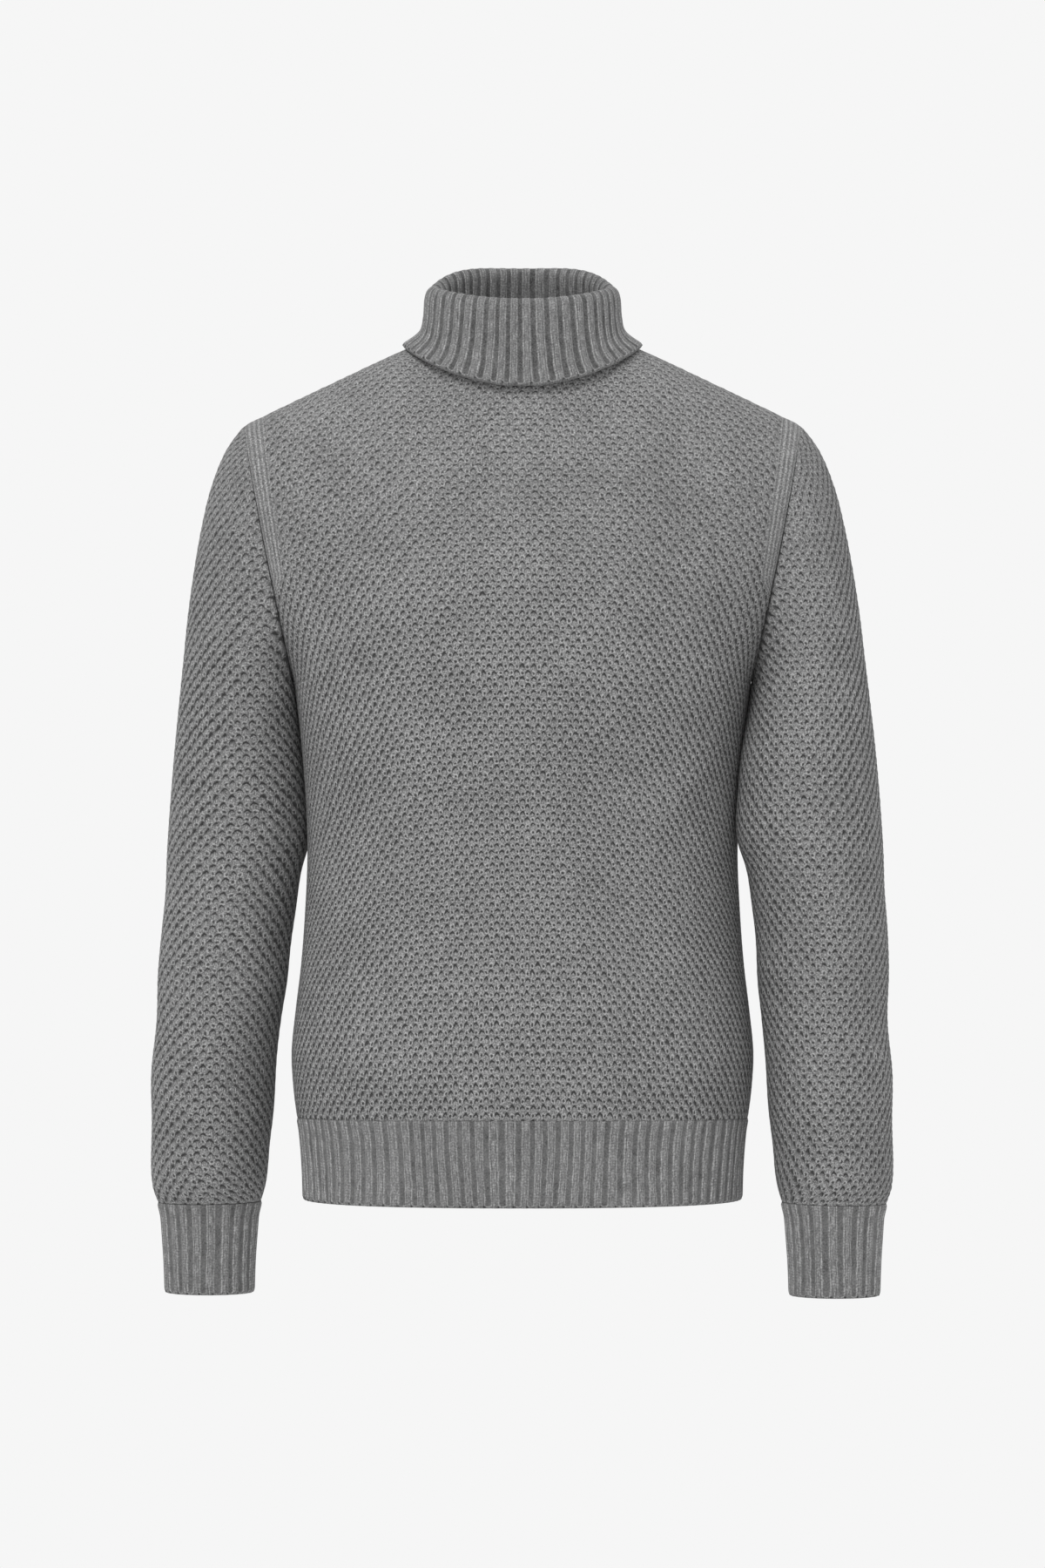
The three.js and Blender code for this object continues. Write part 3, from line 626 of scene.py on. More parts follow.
def build_sleeve(label, arm, looks):
    """A sleeve from the armhole down to the cuff, with soft creases across the elbow."""
    last = len(SLEEVE["sway"]) - 1
    angles = math.pi + np.linspace(0, 2 * math.pi, SLEEVE_COLUMNS + 1)
    at = np.linspace(0, last, SLEEVE_ROWS + 1)
    raised = arm["raise"] * ease(at / last)[:, None]
    rings = arm_rings(SLEEVE, at, arm, angles, raised)
    tilt = ring_plane(SLEEVE, 0, arm["side"])
    front = np.where(np.sin(angles) > 0, -1, 1)
    loop = armhole_edge(np.arccos(np.cos(angles)), arm["side"], front)
    loop = loop - np.sign(tilt[2]) * SEAM_GAP * tilt
    rings = rings + (1 - at).clip(0)[:, None, None] * (loop - rings[0])
    plain = rings[:, :-1]
    normals = grid_normals(plain, True)
    closed_normals = np.concatenate([normals, normals[:, :1]], axis=1)

    down = np.broadcast_to((at / last)[:, None], rings.shape[:2])
    lift = np.zeros(rings.shape[:2])
    for k in range(len(SLEEVE_CREASES["down"])):
        crease = {name: SLEEVE_CREASES[name][k] for name in SLEEVE_CREASES}
        turn = np.abs((np.degrees(angles) - crease["round"] + 540) % 360 - 180)
        apart = ((down - crease["down"]) / crease["width"]) ** 2
        lift += crease["height"] * np.exp(-apart - (turn / crease["span"]) ** 2)

    from_armhole = running_length(np.linalg.norm(np.diff(rings, axis=0), axis=-1), 0)
    from_cuff = from_armhole[-1:] - from_armhole
    lift *= ease(from_armhole / 12) * ease(from_cuff / 12)

    # Stitch columns hang straight down, counted from the sleeve's outer line
    level = rings[..., 2] - raised
    outer_out = smooth_value(SLEEVE, "outerUp", "outerOut", level.clip(-668, -60))
    inner_out = np.where(level > -262, ARMPIT_OUT, smooth_value(SLEEVE, "innerUp", "innerOut", level.clip(-667, -262)))
    half_out, depth = (outer_out - inner_out) / 2, smooth_value(SLEEVE, None, "halfDepth", at)[:, None]
    middle = (smooth_value(SLEEVE, None, "sway", at) * arm["sway"])[:, None]
    aside = arm["side"] * rings[..., 0] - (outer_out + inner_out) / 2
    seen = np.arctan2(-(rings[..., 1] - middle) / depth, aside / half_out)
    drift = np.arctan2(np.sin(seen - angles), np.cos(seen - angles))
    turn = angles - 2 * math.pi + drift
    opened = 1 + arm["open"] * np.exp(-(((level - ELBOW_LEVEL) / ELBOW_REACH) ** 2))
    stitch_across = turn * np.sqrt((half_out**2 + depth**2) / 2) / (arm["stitch"] * opened)
    stitch_up = level_steps(rings, closed_normals, np.full(rings.shape[:2], SLEEVE_STITCH_HIGH))
    stitches = (stitch_across, stitch_up - stitch_up[-1:])

    calm = ease((from_armhole - 2) / 5) * ease(from_cuff / 4)
    touching = under_arm(level) * ease((-np.cos(angles) - 0.5) / 0.3)
    beside_body = (1 - 0.65 * ease((-np.cos(angles) - 0.45) / 0.3)) * (1 - touching)
    relief = honeycomb_relief(stitches, looks.relief_depth / MM) * calm * beside_body
    groove = seam_groove(from_armhole) + seam_groove(from_cuff, 0.15, 1.2)
    folded = rings + closed_normals * (lift * (1 - touching) + TOUCH_SWELL * touching)[..., None]
    outer = (folded + closed_normals * (relief + groove)[..., None])[:, :-1]
    row, column = np.arange(SLEEVE_ROWS + 1)[:, None], np.arange(SLEEVE_COLUMNS)[None]
    planes = [((row == 0) & (column >= 0), tilt),
              ((row == SLEEVE_ROWS) & (column >= 0), ring_plane(SLEEVE, last, arm["side"]))]
    inner = inner_grid(folded[:, :-1], grid_normals(folded[:, :-1], True), CLOTH_THICK, planes)
    name = "sleeve_" + label
    piece = knitted_wall(name, outer, inner, True, stitches, (from_armhole + 30, from_cuff),
                         looks.materials["honeycomb"])
    dress(piece, name)


def build_cuff(label, arm, looks):
    """A ribbed cuff, knitted on to its sleeve."""
    last = len(CUFF["sway"]) - 1
    count = ROUND_STEPS_PER_RIB * CUFF_RIBS
    angles = math.pi + np.linspace(0, 2 * math.pi, count + 1)
    rings = arm_rings(CUFF, np.linspace(0, last, CUFF_ROWS + 1), arm, angles, arm["raise"])
    rings[:, :, 2] += (SEAM_GAP - KNIT_ON_GAP) * ease(1 - np.arange(CUFF_ROWS + 1) / 4)[:, None]
    normals = grid_normals(rings[:, :-1], True)
    from_top = running_length(np.linalg.norm(np.diff(rings, axis=0), axis=-1), 0)
    from_edge = from_top[-1:] - from_top
    ribs = uneven_ribs(CUFF_RIBS * angles / (2 * math.pi), CUFF_RIBS, from_top / from_top[-1:])
    rise = RIB_RISE * rib_wave(ribs) * (1 - 0.6 * ease(1 - from_edge / 3)) * ease(0.2 + from_top / 3)
    flare = CUFF_FLARE * ease(1 - from_top / CUFF_FLARE_REACH)
    shift = rise + flare + seam_groove(from_top, 0.1, 1.0) + seam_groove(from_edge, 0.5, 1.6)
    outer = rings[:, :-1] + normals * shift[:, :-1, None]
    row, column = np.arange(CUFF_ROWS + 1)[:, None], np.arange(count)[None]
    planes = [((row == r) & (column >= 0), ring_plane(CUFF, end, arm["side"]))
              for r, end in ((0, 0), (CUFF_ROWS, last))]
    inner = inner_grid(rings[:, :-1], normals, RIB_THICK, planes)
    name = "cuff_" + label
    piece = knitted_wall(name, outer, inner, True, (ribs, from_top / (looks.rib_course / MM)),
                         (from_edge, from_top), looks.materials["rib"])
    dress(piece, name)


def build_collar(looks):
    """The tall ribbed collar, linked on at the neckline and folded over once."""
    count = ROUND_STEPS_PER_RIB * COLLAR_RIBS
    angles = np.linspace(0, 2 * math.pi, count + 1)
    lengths = np.hypot(np.diff(COLLAR["frontOut"]), np.diff(COLLAR["frontUp"]))
    run = running_length(lengths, 0)
    at = np.interp(np.linspace(0, run[-1], COLLAR_ROWS + 1), run, np.arange(len(run)))
    row = {name: smooth_value(COLLAR, None, name, at)[:, None] for name in COLLAR}
    front = np.cos(angles) > 0
    depth = np.where(front, COLLAR_FRONT, COLLAR_BACK)
    by_fold = np.exp(-(((at - COLLAR_FOLD_ROW) / 1.7) ** 2))[:, None]
    from_sides = np.abs(np.cos(angles))
    fuller = np.where(front, 0, BACK_RIM_FILL * by_fold) * from_sides**2 * (1 - from_sides)
    near = from_sides**NECK_CURVE + fuller
    end_out = np.where(front, row["frontOut"], row["backOut"])
    end_up = np.where(front, row["frontUp"], row["backUp"])
    out = row["sideOut"] + (end_out - row["sideOut"]) * near
    up = row["sideUp"] + (end_up - row["sideUp"]) * near
    ring = point(COLLAR_OUT * np.sin(angles), -depth * np.cos(angles), 0)
    outward = unit(ring / np.stack([np.full_like(depth, COLLAR_OUT), depth, depth], axis=-1) ** 2)
    d_out, d_up = np.gradient(out, axis=0), np.gradient(up, axis=0)
    length = np.hypot(d_out, d_up)
    from_neck = running_length(np.hypot(np.diff(out, axis=0), np.diff(up, axis=0)), 0)
    from_edge = from_neck[-1:] - from_neck

    def place(shift):
        level = (up + d_out / length * shift)[..., None] * (0, 0, 1)
        return ring + outward * (out - d_up / length * shift)[..., None] + level

    ribs = uneven_ribs(COLLAR_RIBS * angles / (2 * math.pi), COLLAR_RIBS, from_neck / from_neck[-1:])
    # The ribs are pressed flat where the collar folds
    pressed = np.exp(-(((at - COLLAR_FOLD_ROW) / 1.4) ** 2))[:, None]
    rise = RIB_RISE * rib_wave(ribs) * (0.8 - 0.6 * pressed) * (1 - 0.6 * ease(1 - from_edge / 3))
    rise = rise + seam_groove(from_edge, 0.5, 1.2)
    outer, inner = place(rise)[:, :-1], place(-RIB_THICK)[::INNER_STEP, :-1:INNER_STEP]
    piece = knitted_wall("collar", outer, inner, True, (ribs, from_neck / (looks.rib_course / MM)),
                         (from_edge, from_neck), looks.materials["rib"])
    dress(piece, "collar")


def linear(hex_colour):
    """An sRGB hex colour as linear red, green, blue and alpha."""
    values = [int(hex_colour[k:k + 2], 16) / 255 for k in (1, 3, 5)]
    return [v / 12.92 if v <= 0.04045 else ((v + 0.055) / 1.055) ** 2.4 for v in values] + [1.0]


def add(tree, kind, inputs=(), **settings):
    """Adds a node with its settings, and sets or links its inputs."""
    node = tree.nodes.new(kind)
    for name, value in settings.items():
        setattr(node, name, value)
    for key, value in dict(inputs).items():
        if isinstance(value, bpy.types.NodeSocket):
            tree.links.new(value, node.inputs[key])
        else:
            node.inputs[key].default_value = value
    return node


def formula(tree, operation, *values):
    """The result of one sum on sockets or numbers."""
    return add(tree, "ShaderNodeMath", enumerate(values), operation=operation).outputs[0]


def bell(tree, value, middle, spread):
    """A soft peak around a middle value, from 0 to 1."""
    away = formula(tree, "DIVIDE", formula(tree, "SUBTRACT", value, middle), spread)
    return formula(tree, "EXPONENT", formula(tree, "MULTIPLY", formula(tree, "POWER", away, 2.0), -1.0))


def honeycomb_cell():
    """One half of the brick lattice: an arch of painted shade over a tongue of three strands, then a ring of yarn
    round a small hole of painted shade; the tongue, its strands and the ring are painted highlights. Across and Up
    count whole repeats. Turn is how far the cloth faces sideways: there the arch's painted shade is heavier on its
    outer half, and a pit of painted shade opens at that half."""
    tree = bpy.data.node_groups.new("Honeycomb cell", "ShaderNodeTree")
    for name, way in (("Across", "INPUT"), ("Up", "INPUT"), ("Turn", "INPUT"), ("Shade", "OUTPUT"),
                      ("Height", "OUTPUT")):
        tree.interface.new_socket(name, in_out=way, socket_type="NodeSocketFloat")
    given = tree.nodes.new("NodeGroupInput")
    result = tree.nodes.new("NodeGroupOutput")

    def f(operation, *values):
        return formula(tree, operation, *values)

    shifted = f("ADD", given.outputs["Across"], 0.5)
    aside = f("SUBTRACT", f("FRACT", shifted), 0.5)
    wing = f("ABSOLUTE", aside)
    upside = f("MULTIPLY", given.outputs["Up"], -1.0)
    below = f("FRACT", upside)
    # No two stitches open alike: each arch's painted shade is scaled at random
    cell = add(tree, "ShaderNodeCombineXYZ", {0: f("FLOOR", shifted), 1: f("FLOOR", upside)}).outputs[0]
    luck = add(tree, "ShaderNodeTexWhiteNoise", {"Vector": cell}, noise_dimensions="2D").outputs["Value"]
    open_share = f("MULTIPLY_ADD", luck, 0.7, 0.65)
    turned = f("ABSOLUTE", given.outputs["Turn"])
    bowed = f("SUBTRACT", below, f("MULTIPLY_ADD", f("POWER", wing, 2.0), 2.4, f("MULTIPLY", wing, 0.25)))
    wrapped = f("SUBTRACT", f("FRACT", f("ADD", bowed, 0.5)), 0.5)
    arch_ends = add(tree, "ShaderNodeMapRange", {
        "Value": wing, "From Min": 0.1, "From Max": f("MULTIPLY_ADD", turned, 0.08, 0.28),
        "To Min": 1.0, "To Max": 0.0}).outputs[0]
    # The arch's painted shade is heavier on its half towards the side that the cloth faces
    side_shade_weight = f("MULTIPLY_ADD", f("MULTIPLY", aside, given.outputs["Turn"]), 12.0, 1.0)
    side_shade_weight = f("MINIMUM", f("MAXIMUM", side_shade_weight, 0.25), 1.4)
    # A pit of painted shade opens where the cloth faces sideways
    pit_aside = f("SUBTRACT", aside, f("MULTIPLY", given.outputs["Turn"], 0.15))
    pit = f("MULTIPLY", f("MULTIPLY", bell(tree, pit_aside, 0.0, 0.17), bell(tree, wrapped, 0.02, 0.15)),
            f("MULTIPLY", turned, 1.35))
    arch = f("MULTIPLY", bell(tree, wrapped, 0.0, 0.068), f("MULTIPLY", arch_ends, side_shade_weight))
    arch = f("MULTIPLY", f("MAXIMUM", arch, pit), open_share)
    from_hole = f("SQRT", f("ADD", f("POWER", aside, 2.0), f("POWER", f("SUBTRACT", below, 0.68), 2.0)))
    hole = bell(tree, from_hole, 0.0, 0.075)
    ring = bell(tree, from_hole, 0.17, 0.05)
    tongue = f("MULTIPLY", bell(tree, wing, 0.0, 0.21), bell(tree, below, 0.32, 0.17))
    strand = f("MULTIPLY", tongue, f("COSINE", f("MULTIPLY", wing, 2 * math.pi / 0.135)))
    # Painted highlights on the tongue, its strands and the ring, and painted shade in the arch and the hole
    pale = f("ADD", f("MULTIPLY_ADD", tongue, 0.16, f("MULTIPLY", ring, 0.28)), f("MULTIPLY", strand, 0.22))
    dark = f("MAXIMUM", f("MULTIPLY", arch, 1.2), f("MULTIPLY", hole, 0.8))
    tree.links.new(f("SUBTRACT", pale, dark), result.inputs["Shade"])
    raised = f("ADD", f("MULTIPLY", f("ADD", tongue, ring), 0.2), f("MULTIPLY", strand, 0.2))
    sunk = f("MAXIMUM", f("MULTIPLY", arch, 0.75), f("MULTIPLY", hole, 0.6))
    tree.links.new(f("SUBTRACT", raised, sunk), result.inputs["Height"])
    return tree


def wool_finish(name, looks, pattern, fleck_share):
    """Carded wool blend yarn, spun from pale and dark fibres, knitted: matt, flecked and faintly hairy."""
    material = bpy.data.materials.new(name)
    material.use_nodes = True
    tree = material.node_tree
    tree.nodes.clear()

    def f(operation, *values):
        return formula(tree, operation, *values)

    place = add(tree, "ShaderNodeTexCoord").outputs["Object"]
    sway = add(tree, "ShaderNodeTexNoise", {"Vector": place, "Scale": 80.0, "Detail": 3.0, "Roughness": 0.6})
    wobble = add(tree, "ShaderNodeSeparateXYZ", {0: sway.outputs["Color"]})
    uv = add(tree, "ShaderNodeSeparateXYZ", {0: add(tree, "ShaderNodeUVMap", uv_map="Stitches").outputs[0]})
    edge = add(tree, "ShaderNodeSeparateXYZ", {0: add(tree, "ShaderNodeUVMap", uv_map="Edges").outputs[0]})
    shade, height = pattern(tree, uv, edge, wobble)

    # Fibres about 0.4 mm thick are drawn 0.7 mm wide, the least that shows
    fleck = add(tree, "ShaderNodeTexNoise", {"Vector": place, "Scale": 850.0, "Detail": 2.0, "Roughness": 0.7})
    flecks = f("MULTIPLY", f("SUBTRACT", fleck.outputs["Fac"], 0.5), looks.fleck_strength * fleck_share)
    patch = add(tree, "ShaderNodeTexNoise", {"Vector": place, "Scale": 22.0, "Detail": 2.0})
    patches = f("MULTIPLY", f("SUBTRACT", patch.outputs["Fac"], 0.5), 0.3)
    # The stitches' painted shade and highlights, with the flecks and patches, set the colour between the dark and the
    # pale greys
    level = f("ADD", f("MULTIPLY", shade, looks.stitch_contrast), f("ADD", flecks, patches))
    ramp = add(tree, "ShaderNodeValToRGB", {"Fac": f("MULTIPLY_ADD", level, 0.5, 0.5)})
    stops = ramp.color_ramp.elements
    stops[0].position, stops[0].color = 0.0, looks.dark_fibres_and_shade
    stops[1].position, stops[1].color = 1.0, looks.pale_fibres_and_highlights
    middle = stops.new(0.5)
    middle.color = looks.yarn
    bumps = f("ADD", height, f("MULTIPLY", fleck.outputs["Fac"], 0.7 * fleck_share))
    bump = add(tree, "ShaderNodeBump", {"Strength": 0.8, "Distance": looks.bump_depth, "Height": bumps})
    cloth = add(tree, "ShaderNodeBsdfPrincipled", {
        "Base Color": ramp.outputs["Color"], "Roughness": 0.93, "IOR": 1.53, "Specular IOR Level": 0.25,
        "Sheen Weight": 0.08, "Sheen Roughness": 0.6, "Normal": bump.outputs["Normal"],
    })
    output = add(tree, "ShaderNodeOutputMaterial", {"Surface": cloth.outputs["BSDF"]})
    output.location = (400, 0)
    return material


def honeycomb_pattern(tree, uv, edge, wobble):
    """Tuck-stitch honeycomb, with a plain fashioned band of upright wales beside the armholes."""
    def f(operation, *values):
        return formula(tree, operation, *values)

    group = honeycomb_cell()
    shift = [f("MULTIPLY", f("SUBTRACT", wobble.outputs[k], 0.5), 0.5) for k in (0, 1)]
    across, up = f("ADD", uv.outputs[0], shift[0]), f("ADD", uv.outputs[1], shift[1])
    coordinates = add(tree, "ShaderNodeTexCoord")
    place, facing = (add(tree, "ShaderNodeSeparateXYZ", {0: coordinates.outputs[name]})
                     for name in ("Object", "Normal"))
    # The upper arms are knitted on the slant, so the painted side shade of their cells leans outwards across the whole
    # front
    on_arm = add(tree, "ShaderNodeMapRange", {"Value": f("ABSOLUTE", place.outputs[0]), "From Min": 0.185,
                                              "From Max": 0.2}).outputs[0]
    upper = add(tree, "ShaderNodeMapRange", {"Value": place.outputs[2], "From Min": -0.42, "From Max": -0.3,
                                             "To Min": 0.0, "To Max": 0.26}).outputs[0]
    outward = f("MULTIPLY", f("SIGN", place.outputs[0]), f("MULTIPLY", on_arm, upper))
    # Turn steers the cells' painted side shade: how far the cloth faces sideways, plus the lean on the upper arms
    turn = f("ADD", facing.outputs[0], outward)
    cells = []
    for offset in (0.0, 0.5):
        cell = add(tree, "ShaderNodeGroup", node_tree=group)
        tree.links.new(f("ADD", across, offset), cell.inputs["Across"])
        tree.links.new(f("ADD", up, offset), cell.inputs["Up"])
        tree.links.new(turn, cell.inputs["Turn"])
        cells.append(cell)
    # The cloth is stretched open over the chest, the shoulders and the arms, so the painted shade and the relief of
    # its stitches are weaker there
    slack = add(tree, "ShaderNodeMapRange", {"Value": place.outputs[2], "From Min": -0.26, "From Max": -0.13,
                                             "To Min": 1.42, "To Max": 0.85}).outputs[0]
    slack = f("MULTIPLY", slack, f("MULTIPLY_ADD", on_arm, -0.2, 1.0))
    shade, height = (f("MULTIPLY", f("ADD", cells[0].outputs[name], cells[1].outputs[name]), slack)
                     for name in ("Shade", "Height"))
    # The band's wales are knitted 2.9 mm apart, with a short slanted stitch every 2.4 mm
    wale = f("COSINE", f("MULTIPLY", edge.outputs[0], 2 * math.pi / 2.9))
    stitch = f("COSINE", f("ADD", f("MULTIPLY", uv.outputs[1], 2 * math.pi * 4), f("MULTIPLY", wale, 1.4)))
    plain = f("ADD", f("MULTIPLY_ADD", wale, 0.22, 0.05), f("MULTIPLY", stitch, 0.06))
    in_band = f("MULTIPLY", f("SUBTRACT", 12.0, edge.outputs[0]), 1.2)
    mixed = add(tree, "ShaderNodeClamp", {"Value": in_band}).outputs[0]

    def blend(first, second):
        return add(tree, "ShaderNodeMix", {"Factor": mixed, "A": first, "B": second}).outputs["Result"]

    return blend(shade, plain), blend(height, plain)


def rib_pattern(tree, uv, edge, wobble):
    """Broad ribs: a crest of three upright wales, its outer ones thin and pale as painted highlights, between flat
    troughs darkened as painted shade. At the free edge the pale wales loop under each trough and a notch of painted
    shade shows beside each loop."""
    def f(operation, *values):
        return formula(tree, operation, *values)

    shift = f("MULTIPLY", f("SUBTRACT", wobble.outputs[0], 0.5), 0.14)
    from_trough = f("SUBTRACT", f("FRACT", f("ADD", f("ADD", uv.outputs[0], shift), 0.5)), 0.5)
    aside = f("DIVIDE", f("ABSOLUTE", from_trough), 0.25)
    foot = f("DIVIDE", f("MAXIMUM", f("SUBTRACT", 2.7, edge.outputs[0]), 0.0), 1.8)
    reach = f("SQRT", f("ADD", f("POWER", aside, 2.0), f("POWER", foot, 2.0)))
    trough = add(tree, "ShaderNodeMapRange", {"Value": reach, "From Min": 0.56, "From Max": 0.84,
                                              "To Min": 1.0, "To Max": 0.0}).outputs[0]
    # Pale painted highlights on the crest's outer wales, and a thin line of painted shade just inside them
    rim = bell(tree, reach, 1.03, 0.14)
    line = bell(tree, reach, 1.36, 0.1)
    # Streaks of fibre 0.8 mm wide and 8 mm long run along the wales
    along = add(tree, "ShaderNodeCombineXYZ", {0: f("MULTIPLY", uv.outputs[0], 13.0),
                                               1: f("MULTIPLY", uv.outputs[1], 0.28)}).outputs[0]
    streak = add(tree, "ShaderNodeTexNoise", {"Vector": along, "Scale": 1.0, "Detail": 2.0}).outputs["Fac"]
    streaks = f("MULTIPLY", f("SUBTRACT", streak, 0.5), 1.3)
    course = f("COSINE", f("MULTIPLY", f("ADD", uv.outputs[1], f("MULTIPLY", aside, 0.4)), 2 * math.pi))
    # A notch of painted shade beside each loop at the free edge
    notch = f("MULTIPLY", bell(tree, from_trough, -0.3, 0.07), bell(tree, edge.outputs[0], 1.0, 0.8))
    wales = f("SUBTRACT", f("MULTIPLY", rim, 0.24), f("MULTIPLY", line, 0.26))
    knit = f("MULTIPLY", f("SUBTRACT", 1.0, trough), f("ADD", f("ADD", streaks, 0.05), f("MULTIPLY", course, 0.07)))
    # The collar is painted a little darker all over, and darker still in its troughs, as painted shade between its
    # deep ribs
    place = add(tree, "ShaderNodeSeparateXYZ", {0: add(tree, "ShaderNodeTexCoord").outputs["Object"]})
    collar_shade = add(tree, "ShaderNodeMapRange", {"Value": place.outputs[2], "From Min": -0.1, "From Max": -0.06,
                                             "To Min": 0.0, "To Max": 0.12}).outputs[0]
    purl_loop = f("MULTIPLY", f("SUBTRACT", wobble.outputs[2], 0.5), 0.8)
    # The purl loops in the troughs are darkened as painted shade
    purl_and_trough_shade = f("MULTIPLY", trough, f("SUBTRACT", purl_loop, f("ADD", collar_shade, 0.29)))
    shade = f("SUBTRACT", f("ADD", f("ADD", knit, purl_and_trough_shade), wales), f("MULTIPLY_ADD", notch, 0.9, f("MULTIPLY", collar_shade, 0.6)))
    raised = f("ADD", f("MULTIPLY", f("ADD", knit, wales), 0.6), f("MULTIPLY", purl_and_trough_shade, 0.3))
    return shade, f("SUBTRACT", raised, f("MULTIPLY", notch, 0.5))


class SweaterLooks(bpy.types.PropertyGroup):
    """Sizes and colours of the knit that a user may change."""

    relief_depth: bpy.props.FloatProperty(
        name="Stitch relief", description="Height of the honeycomb cells over their edges",
        default=0.00032, min=0, max=0.002, subtype="DISTANCE", unit="LENGTH", precision=5)
    bump_depth: bpy.props.FloatProperty(
        name="Yarn relief", description="Height of the yarn drawn in the material",
        default=0.0011, min=0, max=0.003, subtype="DISTANCE", unit="LENGTH", precision=5)
    rib_course: bpy.props.FloatProperty(
        name="Rib course", description="Height of one row of stitches in the ribs",
        default=0.0022, min=0.001, max=0.006, subtype="DISTANCE", unit="LENGTH", precision=5)
    stitch_contrast: bpy.props.FloatProperty(
        name="Stitch contrast", description="How strongly the stitches are shaded",
        default=1.3, min=0, max=3, subtype="FACTOR")
    fleck_strength: bpy.props.FloatProperty(
        name="Flecks", description="How strongly pale and dark fibres fleck the yarn",
        default=3.3, min=0, max=8, subtype="FACTOR")
    yarn: bpy.props.FloatVectorProperty(
        name="Yarn", description="Middle grey of the yarn", size=4, min=0, max=1,
        default=linear("#6d6d6d"), subtype="COLOR")
    # The pale grey is reached by the pale fibres and by the painted highlights on the stitches
    pale_fibres_and_highlights: bpy.props.FloatVectorProperty(
        name="Pale fibres", description="Lightest grey in the yarn", size=4, min=0, max=1,
        default=linear("#b0b0b0"), subtype="COLOR")
    # The dark grey is reached by the dark fibres and by the painted shade between the stitches
    dark_fibres_and_shade: bpy.props.FloatVectorProperty(
        name="Dark fibres", description="Darkest grey in the yarn, between the stitches", size=4, min=0,
        max=1, default=linear("#303030"), subtype="COLOR")


class SweaterStudio(bpy.types.PropertyGroup):
    """The light and the camera."""

    backdrop: bpy.props.FloatVectorProperty(
        name="Backdrop", description="Pale grey all round, which also lights the cloth", size=4, min=0,
        max=1, default=linear("#f6f6f6"), subtype="COLOR")
    key_power: bpy.props.FloatProperty(
        name="Key light", description="Power of the large light at the upper left",
        default=86, min=0, max=1000, subtype="POWER", unit="POWER")
    fill_power: bpy.props.FloatProperty(
        name="Fill light", description="Power of the soft light from low in front",
        default=20, min=0, max=1000, subtype="POWER", unit="POWER")
    camera_distance: bpy.props.FloatProperty(
        name="Camera distance", description="From the lens to the middle of the neck",
        default=4.5, min=1, max=20, subtype="DISTANCE", unit="LENGTH")
    frame_height: bpy.props.FloatProperty(
        name="Frame height", description="Height of the picture at the middle of the neck",
        default=1.224, min=0.5, max=5, subtype="DISTANCE", unit="LENGTH")
    frame_middle: bpy.props.FloatProperty(
        name="Frame middle", description="Height of the picture's middle from the neck",
        default=-0.34, min=-2, max=2, subtype="DISTANCE", unit="LENGTH")


class Looks:
    """What the building functions read: the user's values and the two finishes."""

    materials = {}

    def __init__(self, scene):
        self.values = scene.sweater_looks
        if not Looks.materials:
            Looks.materials["honeycomb"] = wool_finish("Wool blend, honeycomb knitted", self, honeycomb_pattern, 1.0)
            Looks.materials["rib"] = wool_finish("Wool blend, rib knitted", self, rib_pattern, 0.6)

    def __getattr__(self, name):
        return getattr(self.values, name)


class SWEATER_OT_panels(bpy.types.Operator):
    """Knits the front and the back"""

    bl_idname = "sweater.panels"
    bl_label = "Front and Back"

    def execute(self, context):
        looks = Looks(context.scene)
        build_panel("front", -1, FRONT_FOLDS, looks)
        build_panel("back", 1, BACK_FOLDS, looks)
        return {"FINISHED"}


class SWEATER_OT_hem(bpy.types.Operator):
    """Knits the ribbed hem's two halves"""

    bl_idname = "sweater.hem"
    bl_label = "Ribbed Hem"

    def execute(self, context):
        looks = Looks(context.scene)
        build_hem("hem_rib_front", -1, looks)
        build_hem("hem_rib_back", 1, looks)
        return {"FINISHED"}


class SWEATER_OT_sleeves(bpy.types.Operator):
    """Knits both sleeves"""

    bl_idname = "sweater.sleeves"
    bl_label = "Sleeves"

    def execute(self, context):
        looks = Looks(context.scene)
        for label, arm in ARMS.items():
            build_sleeve(label, arm, looks)
        return {"FINISHED"}


class SWEATER_OT_cuffs(bpy.types.Operator):
    """Knits both ribbed cuffs"""

    bl_idname = "sweater.cuffs"
    bl_label = "Ribbed Cuffs"

    def execute(self, context):
        looks = Looks(context.scene)
        for label, arm in ARMS.items():
            build_cuff(label, arm, looks)
        return {"FINISHED"}


class SWEATER_OT_collar(bpy.types.Operator):
    """Knits the folded collar"""

    bl_idname = "sweater.collar"
    bl_label = "Folded Collar"

    def execute(self, context):
        build_collar(Looks(context.scene))
        return {"FINISHED"}


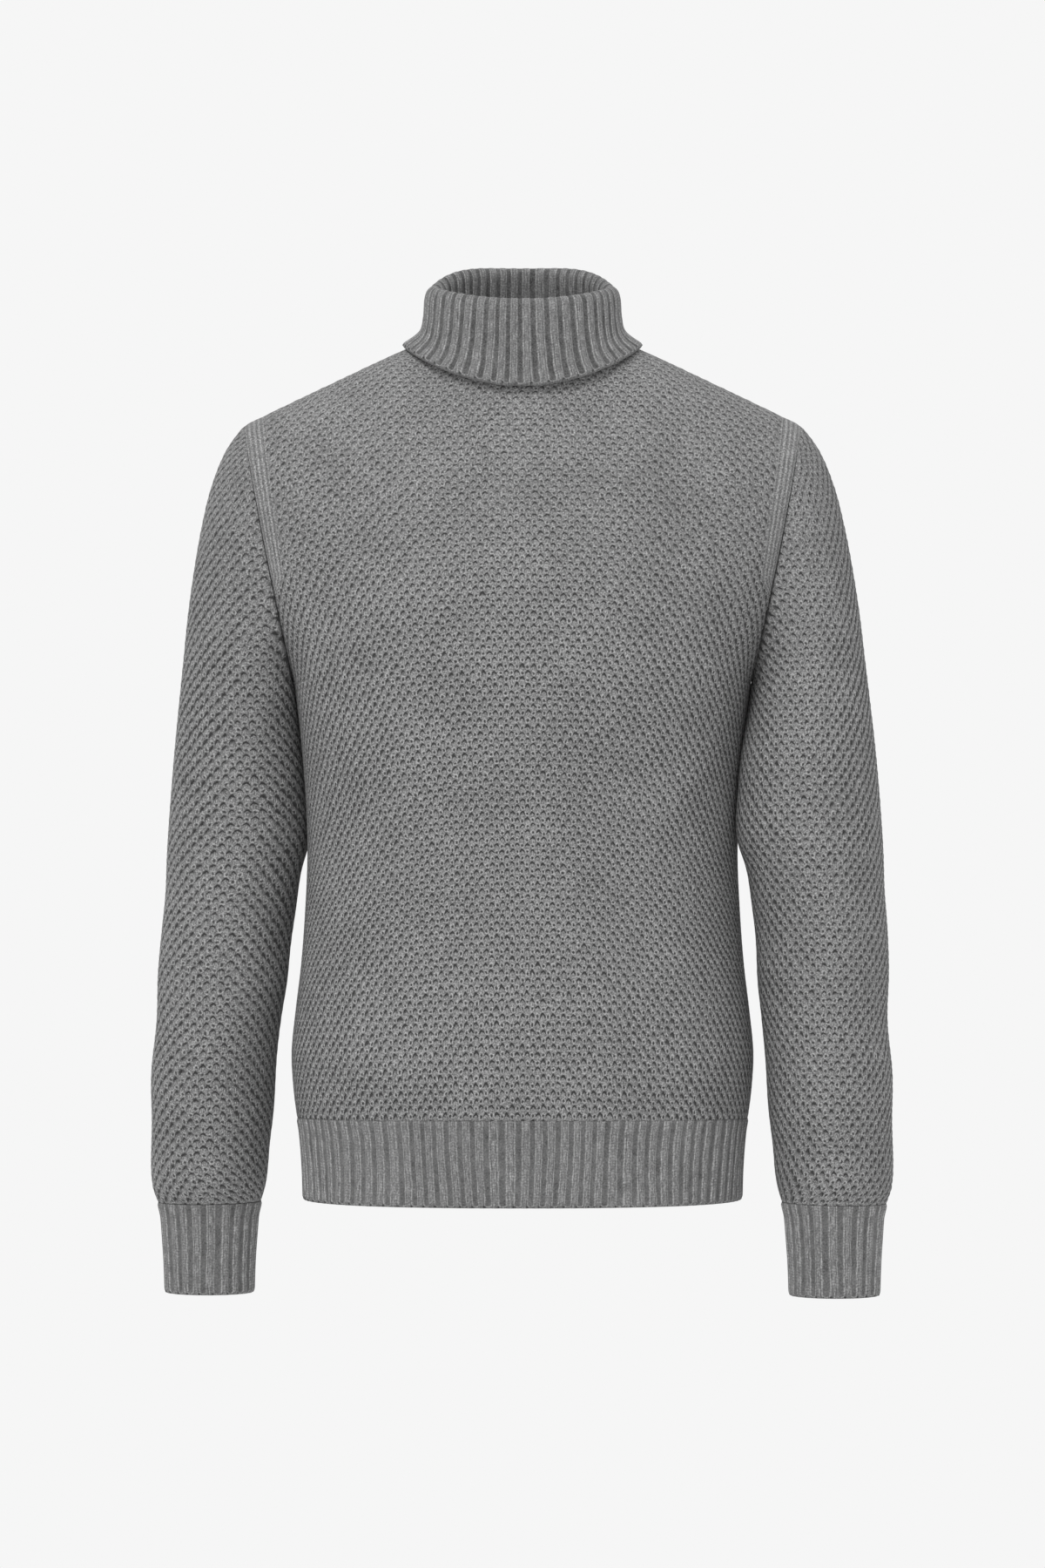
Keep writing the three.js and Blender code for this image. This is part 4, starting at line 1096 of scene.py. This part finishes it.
class SWEATER_OT_studio(bpy.types.Operator):
    """Sets the pale surround, the lights and the camera"""

    bl_idname = "sweater.studio"
    bl_label = "Studio"

    def execute(self, context):
        scene, studio = context.scene, context.scene.sweater_studio
        scene.view_settings.view_transform = "Standard"
        world = bpy.data.worlds.new("Pale studio")
        world.use_nodes = True
        world.node_tree.nodes.clear()
        glow = add(world.node_tree, "ShaderNodeBackground", {"Color": studio.backdrop, "Strength": 1.0})
        add(world.node_tree, "ShaderNodeOutputWorld", {"Surface": glow.outputs[0]})
        scene.world = world
        # A wide soft light at the camera's upper left brightens the shoulders, and a weaker one low in front
        # keeps the arms and the hem from going dark
        for name, power, size, place in (("Key", studio.key_power, 1.8, (-1.1, -2.1, 3.2)),
                                         ("Fill", studio.fill_power, 1.6, (0.1, -3.0, -1.4))):
            light = bpy.data.lights.new(name, "AREA")
            light.energy, light.shape, light.size = power, "DISK", size
            lamp = bpy.data.objects.new(name, light)
            lamp.location = place
            aim_at(lamp, (0, 0, -0.35))
            scene.collection.objects.link(lamp)
        build_floor()
        camera = bpy.data.objects.new("Camera", bpy.data.cameras.new("Camera"))
        camera.data.sensor_width = 36
        camera.data.lens = 36 * studio.camera_distance / studio.frame_height
        camera.data.dof.use_dof = False
        camera.location = (0, -studio.camera_distance, studio.frame_middle)
        aim_at(camera, (0, 0, studio.frame_middle))
        scene.collection.objects.link(camera)
        scene.camera = camera
        return {"FINISHED"}


def build_floor():
    """A round pale floor, low enough that the photograph's view passes over it."""
    outline = bmesh.new()
    bmesh.ops.create_circle(outline, cap_ends=True, segments=96, radius=FLOOR_RADIUS)
    mesh = bpy.data.meshes.new("Floor")
    outline.to_mesh(mesh)
    outline.free()
    floor = bpy.data.objects.new("Floor", mesh)
    floor.location.z = FLOOR_LEVEL
    # Matt emulsion paint, rolled: even and almost white, faintly stippled every 2 mm
    paint = bpy.data.materials.new("Emulsion paint, rolled")
    paint.use_nodes = True
    tree = paint.node_tree
    tree.nodes.clear()
    place = add(tree, "ShaderNodeTexCoord").outputs["Object"]
    stipple = add(tree, "ShaderNodeTexNoise", {"Vector": place, "Scale": 500.0, "Detail": 1.0})
    bump = add(tree, "ShaderNodeBump", {"Strength": 0.2, "Distance": 0.0003, "Height": stipple.outputs["Fac"]})
    surface = add(tree, "ShaderNodeBsdfPrincipled", {"Base Color": linear("#d0d0d0"), "Roughness": 0.9,
                                                     "Normal": bump.outputs["Normal"]})
    add(tree, "ShaderNodeOutputMaterial", {"Surface": surface.outputs[0]})
    mesh.materials.append(paint)
    bpy.context.scene.collection.objects.link(floor)


def aim_at(thing, target):
    """Turns a light or the camera to face a point."""
    way = np.array(target, float) - np.array(thing.location)
    flat = math.hypot(way[0], way[1])
    thing.rotation_euler = (math.pi / 2 + math.atan2(way[2], flat), 0, -math.atan2(way[0], way[1]))


class SWEATER_PT_panel(bpy.types.Panel):
    """Lists the sweater's pieces and settings"""

    bl_idname = "SWEATER_PT_panel"
    bl_label = "Rollneck Sweater"
    bl_space_type = "VIEW_3D"
    bl_region_type = "UI"
    bl_category = "Sweater"

    def draw(self, context):
        for group in (context.scene.sweater_looks, context.scene.sweater_studio):
            box = self.layout.box()
            for name in group.__annotations__:
                box.prop(group, name)
        for operator in OPERATORS:
            self.layout.operator(operator.bl_idname)


OPERATORS = (SWEATER_OT_panels, SWEATER_OT_hem, SWEATER_OT_sleeves, SWEATER_OT_cuffs,
             SWEATER_OT_collar, SWEATER_OT_studio)
CLASSES = (SweaterLooks, SweaterStudio, *OPERATORS, SWEATER_PT_panel)


def register():
    for item in CLASSES:
        bpy.utils.register_class(item)
    bpy.types.Scene.sweater_looks = bpy.props.PointerProperty(type=SweaterLooks)
    bpy.types.Scene.sweater_studio = bpy.props.PointerProperty(type=SweaterStudio)


def unregister():
    del bpy.types.Scene.sweater_studio
    del bpy.types.Scene.sweater_looks
    for item in reversed(CLASSES):
        bpy.utils.unregister_class(item)


def main():
    register()
    bpy.ops.sweater.panels()
    bpy.ops.sweater.hem()
    bpy.ops.sweater.sleeves()
    bpy.ops.sweater.cuffs()
    bpy.ops.sweater.collar()
    bpy.ops.sweater.studio()


if __name__ == "__main__":
    main()
